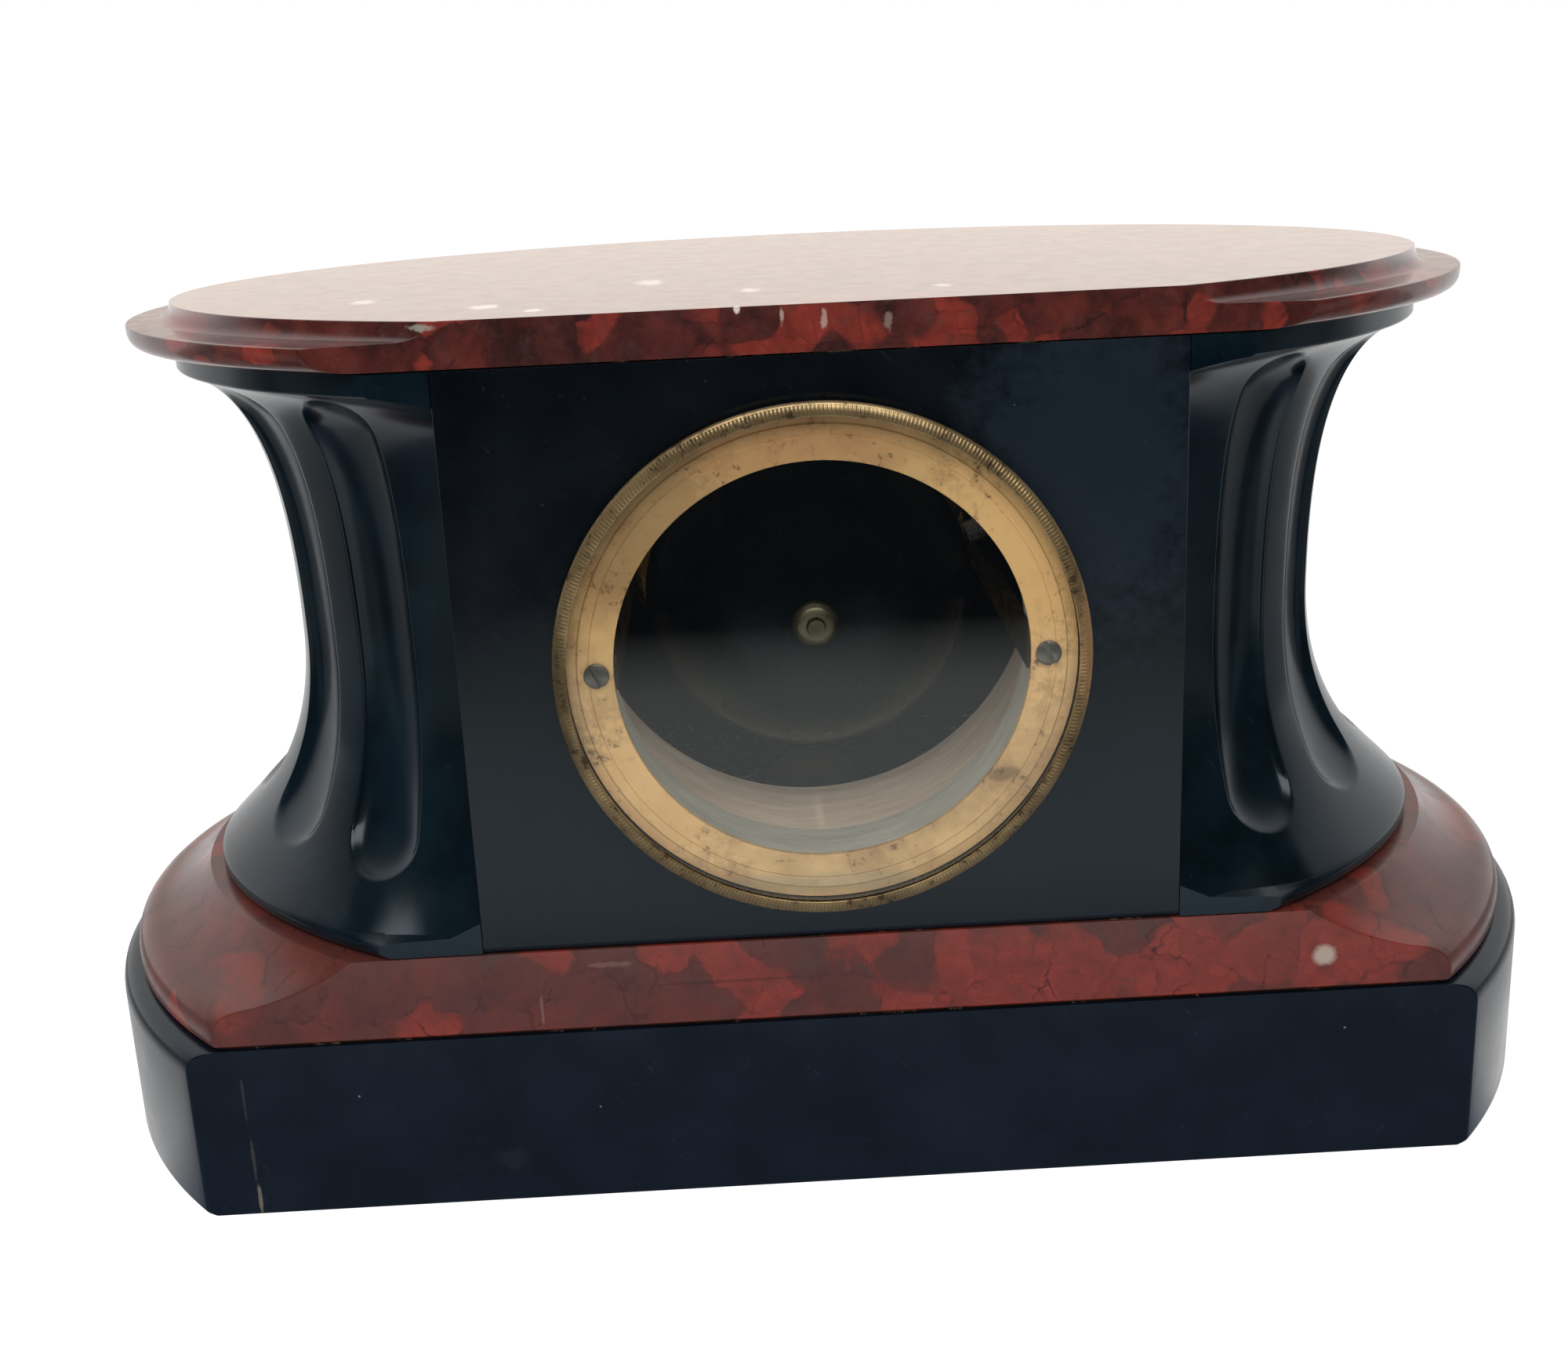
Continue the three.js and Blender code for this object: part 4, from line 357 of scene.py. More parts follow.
# End blocks: black marble worked to a waisted oval and fluted, five flutes to an end with round ends.
# They stand on the moulding either side of the panels and are polished brighter than these.
FOOT_BAND = 58.9  # top of the upright band round the foot
SHELF = (5.5, 34)  # how much lower the flare is cut beside the back panel, and how far up that tells
HEAD_BAND = (167.2, -3.8)  # foot of the band under the slab, and its inset
WAIST = (108, -22.9)  # height and inset of the narrowest place
PANEL = 68.5  # half width of the panels between the blocks
FLUTE_PITCH = 23.7
FLUTE_HALF = 7.6
FLUTE_DEPTH = 3.2
FLUTE_SPAN = (74.8, 157.7)  # heights between which a flute is full width
FLUTE_ARRIS = 0.3
FLUTE_SPLAY = 1.3
FLUTE_SOFT = 0.12  # how far the flute's section is from a true half round at its edge


def waist_rows():
    """The end's profile as inset and height, closest together where the flutes end."""
    low = (WAIST[0] - FOOT_BAND, -WAIST[1])
    high = (HEAD_BAND[0] - WAIST[0], HEAD_BAND[1] - WAIST[1])
    line = eased([(-1, BODY[0]), (0, BODY[0] + 1), (0, FOOT_BAND), (-0.7, FOOT_BAND + 0.64)], 0.35)
    line += curve((0, FOOT_BAND), (-0.48 * low[1], FOOT_BAND + 0.22 * low[0]),
                  (-low[1], FOOT_BAND + 0.42 * low[0]), WAIST[::-1], steps=400)[10:]
    line += curve(WAIST[::-1], (WAIST[1], WAIST[0] + 0.46 * high[0]),
                  (HEAD_BAND[1] - 0.85 * high[1], WAIST[0] + 0.91 * high[0]), HEAD_BAND[::-1], steps=500)[:-6]
    line += eased([line[-1], HEAD_BAND[::-1], (HEAD_BAND[1], BODY[1])], 0.3)[1:]
    rows = [line[0]]
    for inset, z in line[1:-1]:
        fine = z < 80 or z > 153
        if math.dist(rows[-1], (inset, z)) > (0.42 if fine else 1.5):
            rows.append((inset, z))
    return rows + [line[-1]]


def inset_at(rows, z):
    """The inset of the end's profile at any height."""
    for (low, z0), (high, z1) in zip(rows, rows[1:]):
        if z <= z1:
            return low + (high - low) * (z - z0) / (z1 - z0)
    return rows[-1][0]


def shelf_lift(distance, z):
    """How far up the profile is read beside the panel, which leaves a narrow shelf over the foot."""
    beside = min(1, max(0, (abs(distance) - 2 * FLUTE_PITCH + 4) / 18))
    over = z - FOOT_BAND
    if over <= 0:
        return 0
    rise = SHELF[0] * beside ** 2 * (3 - 2 * beside)
    return rise * min(1, over / 0.5) * max(0, 1 - over / SHELF[1])


def waist_line(distance):
    """One upright line of an end: a spot on the waist and the way it fans out from there."""
    half_length, half_depth, angle = OVAL[0] + WAIST[1], OVAL[1] + WAIST[1], 0
    for _ in range(60):
        angle += abs(distance) / 60 / math.hypot(half_length * math.sin(angle), half_depth * math.cos(angle))
    normal = math.atan2(math.sin(angle) / half_depth, math.cos(angle) / half_length)
    fan = min(normal * FLUTE_SPLAY, math.pi / 2)
    side = math.copysign(1, distance)
    return (Vector((half_length * math.cos(angle), side * half_depth * math.sin(angle))),
            Vector((math.cos(fan), side * math.sin(fan))))


def out_to_oval(spot, way, inset):
    """How far along its way an upright line meets the oval of a given inset."""
    a, b = OVAL[0] + inset, OVAL[1] + inset
    p = (way.x / a) ** 2 + (way.y / b) ** 2
    q = spot.x * way.x / a ** 2 + spot.y * way.y / b ** 2
    r = (spot.x / a) ** 2 + (spot.y / b) ** 2 - 1
    return (math.sqrt(q * q - p * r) - q) / p


def flute_depth(distance, z):
    """Depth of the flutes: round in section and at both ends, with a softened arris."""
    nearest = max(-2, min(2, round(distance / FLUTE_PITCH))) * FLUTE_PITCH
    beyond = max(FLUTE_SPAN[0] - z, z - FLUTE_SPAN[1], 0)
    share = math.hypot(distance - nearest, beyond) / FLUTE_HALF
    full = FLUTE_DEPTH / (math.hypot(1, FLUTE_SOFT) - FLUTE_SOFT)
    sunk = full * (math.sqrt(max(0, 1 - share * share) + FLUTE_SOFT ** 2) - FLUTE_SOFT)
    if share > 1:
        sunk = -full * (share - 1) / FLUTE_SOFT
    return (sunk + math.hypot(sunk, FLUTE_ARRIS)) / 2


def end_block(name, side):
    """One end: its fluted skin, closed inwards and then sawn off at the panels and at the back."""
    half = [0, 0.7, 1.4, 2.1, 2.8, 3.5, 4.2, 4.9, 5.5, 6.1, 6.6, 7.0, 7.25, 7.45, 7.6, 7.72, 7.88, 8.1, 8.5,
            9.1, 10, 11]  # points across half a flute and rib, closest at the arris
    offsets = [-d for d in half[:0:-1]] + half
    across = [k * FLUTE_PITCH + d for k in range(-2, 3) for d in offsets]
    outer = [across[-1] + 1.5 * k for k in range(1, 11)]
    across = [-d for d in reversed(outer)] + across + outer
    lines = [waist_line(d) for d in across]
    loops = []
    rows = waist_rows()
    for inset, z in rows:
        loop = []
        for distance, (spot, way) in zip(across, lines):
            lift = shelf_lift(distance, z)
            here = inset_at(rows, z + lift) if lift else inset
            foot = spot + way * (out_to_oval(spot, way, here) - flute_depth(distance, z))
            loop.append((side * foot.x, foot.y, z))
        loops.append(loop + [(side * 30, 0, z)])
    shape = bmesh.new()
    loft(shape, loops)
    edge = (PANEL + 0.05) * MM  # a tight joint with the panels
    for place, normal in (((side * edge, 0, 0), (-side, 0, 0)), ((0, BACK * MM, 0), (0, 1, 0))):
        everything = shape.verts[:] + shape.edges[:] + shape.faces[:]
        bmesh.ops.bisect_plane(shape, geom=everything, plane_co=place, plane_no=normal, clear_outer=True)
        bmesh.ops.holes_fill(shape, edges=[e for e in shape.edges if e.is_boundary], sides=0)
    return made(name, shape, 32)


polished_black = black_marble("polished_black_marble", "#020a10", "#06151d", 0.16, 0.08)
for word, side in (("left", -1), ("right", 1)):
    settle(end_block(f"end_{word}_fluted", side), polished_black, "slate", "case", f"end_block_{word}")

# Front panel: a slab of black marble between the ends, with the round hole for the dial's ring. Bowed
# bands at its foot and head carry the ends' mouldings across the front.
AXIS = 113.1  # height of the dial's middle
SIDES = 160
FRONT = (-64, -46)  # face and back of the front panel
FRONT_BORE = 46.3
BAND_EASE = 0.4  # rubbed edges of the bowed bands


def circle(radius, y, x=0, z=AXIS, sides=SIDES):
    """A circle about an axis that runs from front to back."""
    return [(x + radius * math.cos(math.tau * k / sides), y, z + radius * math.sin(math.tau * k / sides))
            for k in range(sides)]


def oblong(inset, y, rubbed=0):
    """The panels' outline with as many points as a circle has, so that the two can be joined."""
    wide, low, high = PANEL - inset, BODY[0] + inset + rubbed - AXIS, BODY[1] - inset - AXIS
    points = []
    for x, _, z in circle(1, 0, 0, 0):
        reach = min(wide / max(abs(x), 1e-9), (high if z > 0 else -low) / max(abs(z), 1e-9))
        points.append((x * reach, y, AXIS + z * reach))
    for x in (-wide, wide):
        for z in (low, high):
            nearest = min(range(SIDES), key=lambda k: math.dist((points[k][0], points[k][2] - AXIS), (x, z)))
            points[nearest] = (x, y, AXIS + z)
    return points


def bow(inset, z):
    """Outline of a bowed band from one end block to the other."""
    a, b = OVAL[0] + inset, OVAL[1] + inset
    front = []
    for k in range(61):
        x = PANEL * (k / 30 - 1)
        front.append((x, -b * math.sqrt(1 - (x / a) ** 2), z))
    return front + [(PANEL, -63, z), (-PANEL, -63, z)]


shape = bmesh.new()
loft(shape, [circle(FRONT_BORE + 0.3, FRONT[0]), circle(FRONT_BORE, FRONT[0] + 0.3),
             circle(FRONT_BORE, FRONT[1]), oblong(0, FRONT[1]), oblong(0, FRONT[0] + 0.5),
             oblong(0.15, FRONT[0] + 0.15), oblong(0.5, FRONT[0])],
     ring=True)
for inset, low, high in ((0, BODY[0], FOOT_BAND), (HEAD_BAND[1], HEAD_BAND[0], BODY[1])):
    loft(shape, [bow(inset - BAND_EASE, low), bow(inset, low + BAND_EASE), bow(inset, high - BAND_EASE),
                 bow(inset - 0.12, high - 0.12), bow(inset - BAND_EASE, high)])
settle(made("front_panel_slab", shape), polished_black, "slate", "case", "front_panel")

# Back panel: black marble left with a honed face, matter than the ends. Its hole is notched each side
# for the ends of the straps and bored wider behind.
BORE = 41
WIDE_BORE = 49
BACK_STEP = (46.4, 50.4)  # back panel's inner face, and the step in its bore

honed_black = black_marble("honed_black_marble", "#02050a", "#060b10", 0.20, 0.14, [
    ("#4c544f", (-5.6, BACK, 160.2), (1.5, 3, 1.9), 0.8),
    # The broad paler blue patch over the upper right of the face is a painted sheen.
    ("#1d2731", (-50, BACK, 148), (26, 3, 36), 0.5, 1.2)])
loops = [circle(BORE + 0.4, BACK), circle(BORE, BACK - 0.4), circle(BORE, BACK_STEP[1]),
         circle(WIDE_BORE, BACK_STEP[1]), circle(WIDE_BORE, BACK_STEP[0]), oblong(0, BACK_STEP[0]),
         oblong(0, BACK - 0.5), oblong(0.05, BACK - 0.1, 0.7), oblong(0.15, BACK, 1)]
notches = lofted("notches", bar(-45.3, 45.3, 58.8, 64, AXIS - 3.8, AXIS + 3.8))
back_panel = carve(lofted("back_panel_slab", loops, ring=True), notches)
settle(back_panel, honed_black, "slate", "case", "back_panel")

# Lining: plaster and rubble packed behind the back panel, which hold the thin marble together. It is
# bored round to clear the bell.
LINING = (12.4, 46.1)  # front and back of the plaster
SKIM = (50.3, 62.2)  # the same of the skim coat on the bore


def plaster(name, dark, pale):
    """Rough plaster: lumps, and streaks round the bore left by the trowel."""
    finish, tree, shader, spot = finish_named(name, Specular_IOR_Level=0.2, Roughness=0.95)
    drawn = add(tree, "ShaderNodeMapping", {"Vector": spot, "Scale": (0.25, 1.5, 0.25)})
    lumps, _, colour = mottled(tree, drawn, 4, 7, 0.7, (0.3, 0.7), dark, pale)
    bump = add(tree, "ShaderNodeBump", {"Strength": 0.4, "Distance": 0.6 * MM, "Height": lumps})
    feed(tree, shader, {"Base Color": colour, "Normal": bump})
    return finish


loops = [circle(WIDE_BORE, LINING[1]), circle(WIDE_BORE, LINING[0]), oblong(0, LINING[0]),
         oblong(0, LINING[1])]
rough_plaster = plaster("rough_plaster", "#c2aa94", "#e0ccb8")
settle(lofted("plaster_fill", loops, ring=True), rough_plaster, "plaster", "case", "plaster_lining")
loops = [circle(BORE - 0.02, SKIM[0]), circle(BORE - 0.02, SKIM[1]), circle(BORE - 0.5, SKIM[1] - 0.1),
         circle(BORE - 0.6, SKIM[1] - 0.6), circle(BORE - 0.6, SKIM[0])]
grey_plaster = plaster("grey_skim_plaster", "#8a857a", "#aaa396")
settle(lofted("bore_skim", loops, ring=True), grey_plaster, "plaster", "case")

# Front ring: a brass tube through the panel with a flange in front, a ledge for the dial and the two
# outer knuckles of the door's hinge.
HINGE = (-51, -67.5)  # X and Y of the hinge pin


def lathe_rings(tree, spot, pitch, wobble):
    """Fine rings about the dial's axis, as a lathe leaves them."""
    centred = add(tree, "ShaderNodeMapping", {"Vector": spot, "Location": (0, 0, -AXIS * MM)})
    rings = {"Vector": centred, "Scale": 0.31 / (pitch * MM), "Distortion": wobble, "Detail": 2}
    return add(tree, "ShaderNodeTexWave", rings, wave_type="RINGS", rings_direction="Y").outputs[1]


def brass(name, bright, dull, stain, stained, rough, lathe=0.25, metal=0.8, stains_and_painted_light=()):
    """Old brass: ochre to brown by its tarnish, with specks, stains, painted light and shade, and the lathe's
    fine rings.
    """
    finish, tree, shader, spot = finish_named(name, Metallic=metal)
    bloom, _, colour = mottled(tree, spot, 12, 6, 0.65, (0.36, 0.66), bright, dull)
    fine = add(tree, "ShaderNodeTexNoise",
               {"Vector": spot, "Scale": 1 / (1.5 * MM), "Detail": 4, "Roughness": 0.6})
    mixed = add(tree, "ShaderNodeMath", {0: bloom, 1: 0.7, 2: fine}, operation="MULTIPLY_ADD")
    specks = add(tree, "ShaderNodeMapRange", {0: mixed, 1: 1.12 - stained, 2: 1.22 - stained, 3: 0, 4: 0.75})
    layers = [(specks, stain)] + [(blotch(tree, spot, fine, *where), shade) for shade, *where in stains_and_painted_light]
    worn = add(tree, "ShaderNodeMapRange", {0: mixed, 1: 0.6, 2: 1.1, 3: rough - 0.08, 4: rough + 0.16})
    rings = lathe_rings(tree, spot, 0.5, 0.6)
    height = add(tree, "ShaderNodeMath", {0: rings, 1: lathe, 2: fine}, operation="MULTIPLY_ADD")
    bump = add(tree, "ShaderNodeBump", {"Strength": 0.12, "Distance": 0.15 * MM, "Height": height})
    feed(tree, shader, {"Base Color": layered(tree, colour, layers), "Roughness": worn, "Normal": bump})
    return finish


def turned(shape, profile, edge=0.25, x=0, z=AXIS, sides=SIDES):
    """A closed profile of radius and place along the axis, turned about it with eased corners."""
    rows = eased(profile, edge, closed=True)
    loft(shape, [circle(radius, y, x, z, sides) for radius, y in rows], ring=True)


def knuckle(shape, low, high, bore=0.9, outer=1.9):
    """One knuckle of the door's hinge, a short upright tube."""
    ends = eased([(bore, low), (outer, low), (outer, high), (bore, high)], 0.25, closed=True)
    ways = [(math.cos(math.tau * k / 40), math.sin(math.tau * k / 40)) for k in range(40)]
    loft(shape, [[(HINGE[0] + r * x, HINGE[1] + r * y, AXIS + z) for x, y in ways] for r, z in ends],
         ring=True)


polished_brass = brass("polished_brass", "#d3ab5c", "#b98f47", "#7a5a2c", 0.05, 0.24)
shape = bmesh.new()
turned(shape, [(44.2, -66), (48, -66), (48, -64.3), (46, -64.3), (46, -52), (42, -52), (42, -60.95),
               (44.2, -60.95)])
for low, high in ((-9.3, -3.3), (3.3, 9.3)):
    knuckle(shape, low, high)
    loft(shape, bar(-49.4, -47.2, -65.9, -64.3, AXIS + low, AXIS + high))
settle(made("front_ring_tube", shape), polished_brass, "brass", "case", "front_ring")

# Dial: a disc of white enamel on copper with a low rim, and brass eyelets round the two winding
# holes. The figures and the minute ring are black enamel fired on.
DIAL_FACE, DIAL_BACK = -62.5, -61
WINDING = ((19, 101.1), (-20, 102.1))  # X and height of the winding holes
TRACK = (37.6, 39.6)  # inner and outer edge of the minute ring

# White enamel is milky and glossy, with a few hairline cracks.
enamel, tree, shader, spot = finish_named("white_enamel", IOR=1.5, Coat_Weight=0.4, Coat_Roughness=0.05)
milk, _, colour = mottled(tree, spot, 14, 4, 0.5, (0.35, 0.65), "#efe9db", "#e4dcc9")
cracks = add(tree, "ShaderNodeTexVoronoi", {"Vector": spot, "Scale": 1 / (30 * MM)},
             feature="DISTANCE_TO_EDGE")
hairline = add(tree, "ShaderNodeMapRange", {0: cracks.outputs["Distance"], 1: 0, 2: 0.006, 3: 0.35, 4: 0})
rough = add(tree, "ShaderNodeMapRange", {0: milk, 1: 0.3, 2: 0.7, 3: 0.14, 4: 0.22})
feed(tree, shader, {"Base Color": layered(tree, colour, [(hairline, "#8d8476")]), "Roughness": rough})
shape = bmesh.new()
turned(shape, [(4.1, DIAL_FACE), (41.5, DIAL_FACE), (42.6, DIAL_FACE - 0.25), (43.6, DIAL_FACE - 0.1),
               (43.9, DIAL_FACE + 0.4), (43.9, DIAL_BACK), (4.1, DIAL_BACK)], 0.3)
dial = made("dial_disc", shape, 40)
holes = [lofted("winding_hole", [circle(3.4, y, x, z, 48) for y in (-64, -60)]) for x, z in WINDING]
settle(carve(dial, *holes), enamel, "enamel", "case", "dial")

shape = bmesh.new()
for x, z in WINDING:
    turned(shape, [(2.95, DIAL_FACE - 0.35), (4.1, DIAL_FACE - 0.35), (4.3, DIAL_FACE - 0.02),
                   (3.35, DIAL_FACE - 0.02), (3.35, DIAL_BACK), (2.95, DIAL_BACK)], 0.15, x, z, 48)
settle(made("winding_eyelets", shape), polished_brass, "brass", "case")

# Black enamel is as glossy as the dial that it is fired on, and a little uneven.
black_enamel, tree, shader, spot = finish_named("black_enamel", IOR=1.5)
fired, _, colour = mottled(tree, spot, 2, 3, 0.5, (0.35, 0.65), "#15161a", "#24252a")
rough = add(tree, "ShaderNodeMapRange", {0: fired, 1: 0.3, 2: 0.7, 3: 0.18, 4: 0.3})
feed(tree, shader, {"Base Color": colour, "Roughness": rough})


def ring_tree(name, **sizes):
    """An empty geometry tree for shapes set in a ring, with named inputs, and its input and output."""
    tree = bpy.data.node_groups.new(name, "GeometryNodeTree")
    tree.interface.new_socket("Geometry", in_out="INPUT", socket_type="NodeSocketGeometry")
    tree.interface.new_socket("Geometry", in_out="OUTPUT", socket_type="NodeSocketGeometry")
    common = {"Count": "Int", "Radius": "Float", "Face": "Float", "Height": "Float", "Coat": "Material"}
    for size, kind in (common | sizes).items():
        tree.interface.new_socket(size, in_out="INPUT", socket_type=f"NodeSocket{kind}")
    return tree, add(tree, "NodeGroupInput").outputs, add(tree, "NodeGroupOutput")


def set_round(tree, sizes, result, shape, scale=(1, 1, 1)):
    """Sets copies of a shape in a ring about the dial's axis and joins them to the piece."""
    around = add(tree, "GeometryNodeMeshCircle", {"Vertices": sizes["Count"], "Radius": sizes["Radius"]})
    step = add(tree, "ShaderNodeMath", {0: math.tau, 1: sizes["Count"]}, operation="DIVIDE")
    index = add(tree, "GeometryNodeInputIndex")
    angle = add(tree, "ShaderNodeMath", {0: index, 1: step}, operation="MULTIPLY")
    turn = add(tree, "ShaderNodeCombineXYZ", {"Z": angle})
    copies = add(tree, "GeometryNodeInstanceOnPoints",
                 {"Points": around, "Instance": shape, "Rotation": turn, "Scale": scale})
    real = add(tree, "GeometryNodeRealizeInstances", {0: copies})
    place = add(tree, "ShaderNodeCombineXYZ", {"Y": sizes["Face"], "Z": sizes["Height"]})
    stood = add(tree, "GeometryNodeTransform",
                {"Geometry": real, "Translation": place, "Rotation": (math.pi / 2, 0, 0)})
    both = add(tree, "GeometryNodeJoinGeometry", {0: sizes["Geometry"]})
    feed(tree, both, {0: stood})
    coated = add(tree, "GeometryNodeSetMaterial", {"Geometry": both, "Material": sizes["Coat"]})
    feed(tree, result, {0: coated})


def grown(piece, tree, **values):
    """Runs a geometry tree on a piece with these inputs and keeps the plain mesh."""
    grow = piece.modifiers.new(tree.name, "NODES")
    grow.node_group = tree
    for item in tree.interface.items_tree:
        key = item.name.lower()
        if item.in_out == "INPUT" and key in values:
            grow[item.identifier] = values[key]
    mesh = evaluated(piece)
    piece.modifiers.remove(grow)
    piece.data = mesh
    shaded(mesh, CREASE)


track, sizes, result = ring_tree("minute_ring", Length="Float", Width="Float")
size = add(track, "ShaderNodeCombineXYZ", {"X": sizes["Length"], "Y": sizes["Width"], "Z": 0.05 * MM})
index = add(track, "GeometryNodeInputIndex")
fifth = add(track, "ShaderNodeMath", {0: index, 1: 5.0}, operation="FLOORED_MODULO")
five = add(track, "ShaderNodeMath", {0: fifth, 1: 0.5}, operation="LESS_THAN")
stout = add(track, "ShaderNodeMath", {0: five, 1: 2.2, 2: 1.0}, operation="MULTIPLY_ADD")
scale = add(track, "ShaderNodeCombineXYZ", {"X": 1.0, "Y": stout, "Z": 1.0})
set_round(track, sizes, result, add(track, "GeometryNodeMeshCube", {"Size": size}), scale)


def stroke(shape, start, end, width, turn, sink=0.03):
    """One straight stroke of a figure, drawn in the figure's own upright frame and turned to its hour."""
    along = (Vector(end) - Vector(start)).normalized()
    side = Vector((-along.y, along.x)) * width / 2
    corners = [Vector(start) - side, Vector(end) - side, Vector(end) + side, Vector(start) + side]
    c, s = math.cos(turn), math.sin(turn)
    loft(shape, [[(x * c + z * s, y, AXIS - x * s + z * c) for x, z in corners]
                 for y in (DIAL_FACE + 0.02, DIAL_FACE - sink)])


FIGURES = ("XII", "I", "II", "III", "IIII", "V", "VI", "VII", "VIII", "IX", "X", "XI")
FIGURE_SPAN = (27.5, 35.8)  # foot and head of a figure, from the middle of the dial
FIGURE_WIDTH = {"I": 2.0, "V": 4.6, "X": 4.8}
THICK, THIN, SERIF = 1.15, 0.42, 0.34  # widths of a figure's strokes
shape = bmesh.new()
foot, head = FIGURE_SPAN
for hour, figure in enumerate(FIGURES):
    turn = hour * math.tau / 12
    pen = -sum(FIGURE_WIDTH[letter] for letter in figure) / 2
    for letter in figure:
        wide = FIGURE_WIDTH[letter]
        mid, half = pen + wide / 2, wide / 2 - 0.65
        if letter == "I":
            stroke(shape, (mid, foot), (mid, head), THICK, turn)
            serifs = [(mid, 0.95)]
        elif letter == "V":
            stroke(shape, (mid - half, head), (mid, foot), THICK, turn)
            stroke(shape, (mid + half, head), (mid, foot), THIN, turn, 0.035)
            serifs = [(mid - half, 0.95), (mid + half, 0.8)]
        else:
            stroke(shape, (mid - half, head), (mid + half, foot), THICK, turn)
            stroke(shape, (mid + half, head), (mid - half, foot), THIN, turn, 0.035)
            serifs = [(mid - half, 0.9), (mid + half, 0.9)]
        for place, reach in serifs:
            for end in (head,) if letter == "V" else (head, foot):
                stroke(shape, (place - reach, end), (place + reach, end), SERIF, turn, 0.04)
        pen += wide
for radius in TRACK:
    turned(shape, [(radius, DIAL_FACE + 0.02), (radius + 0.16, DIAL_FACE + 0.02),
                   (radius + 0.16, DIAL_FACE - 0.03), (radius, DIAL_FACE - 0.03)], 0.01)
figures = made("dial_figures", shape)
grown(figures, track, count=60, radius=sum(TRACK) / 2 * MM, length=1.8 * MM, width=0.26 * MM,
      face=(DIAL_FACE - 0.005) * MM, height=AXIS * MM, coat=black_enamel)
settle(figures, black_enamel, "enamel", "case")

# Movement: two round brass plates on four pillars, with the going train on one side and the strike
# train on the other. Plates and wheels are grained brass; arbors, clicks and ratchets are steel.
grained_brass = brass("grained_brass", "#caa257", "#ac8440", "#6e5126", 0.10, 0.32, 0.6)


def steel(name, pale, dark, rough):
    """Plain or blued steel: drawn lines and a little uneven colour."""
    finish, tree, shader, spot = finish_named(name, Metallic=1.0)
    drawn = add(tree, "ShaderNodeMapping", {"Vector": spot, "Scale": (1, 0.08, 1)})
    lines = add(tree, "ShaderNodeTexNoise", {"Vector": drawn, "Scale": 1 / (0.4 * MM), "Detail": 3})
    _, _, colour = mottled(tree, spot, 5, 4, 0.5, (0.35, 0.65), pale, dark)
    worn = add(tree, "ShaderNodeMapRange", {0: lines, 1: 0.3, 2: 0.7, 3: rough - 0.06, 4: rough + 0.1})
    bump = add(tree, "ShaderNodeBump", {"Strength": 0.15, "Distance": 0.05 * MM, "Height": lines})
    feed(tree, shader, {"Base Color": colour, "Roughness": worn, "Normal": bump})
    return finish


bright_steel = steel("bright_steel", "#a9abae", "#85878a", 0.26)
blued_steel = steel("blued_steel", "#26345f", "#18203d", 0.22)
browned_steel = steel("browned_steel", "#837c62", "#5c5640", 0.38)
# The brass inside the case, straps, bob and rating nut, is painted far darker than its tarnish: painted shade
# for the dim inside of the case.
dark_brass = brass("dark_brass", "#4a3b22", "#352a18", "#1d160d", 0.12, 0.45)
for finish, nodes in (
    (grained_brass, ("front_plate", "back_plate", "pillar_1", "pillar_2", "pillar_3", "pillar_4",
                     "going_barrel", "strike_barrel", "second_wheel", "centre_wheel", "third_wheel",
                     "escape_wheel", "minute_wheel", "hour_wheel", "pin_wheel", "locking_wheel", "fly",
                     "suspension_cock")),
    (dark_brass, ("pendulum_bob", "rating_nut", "case_strap_left", "case_strap_right")),
    (bright_steel, ("going_winding_arbor", "strike_winding_arbor", "going_ratchet", "strike_ratchet",
                    "going_click", "strike_click", "pallets", "cannon_pinion", "minute_wheel_post",
                    "pendulum_rod", "hammer", "door_hinge_pin")),
    (browned_steel, ("bell_stand",)),
    (blued_steel, ("going_mainspring", "strike_mainspring", "suspension_spring")),
):
    for node in nodes:
        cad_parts[node].data.materials.clear()
        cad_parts[node].data.materials.append(finish)

# Hands: cut from blued steel sheet with an open moon near the point, pushed on their pipes at ten past
# ten. A domed brass collet on the centre arbor holds the minute hand.
HAND_THICKNESS = 0.8
HAND_EASE = 0.12  # rubbed edge


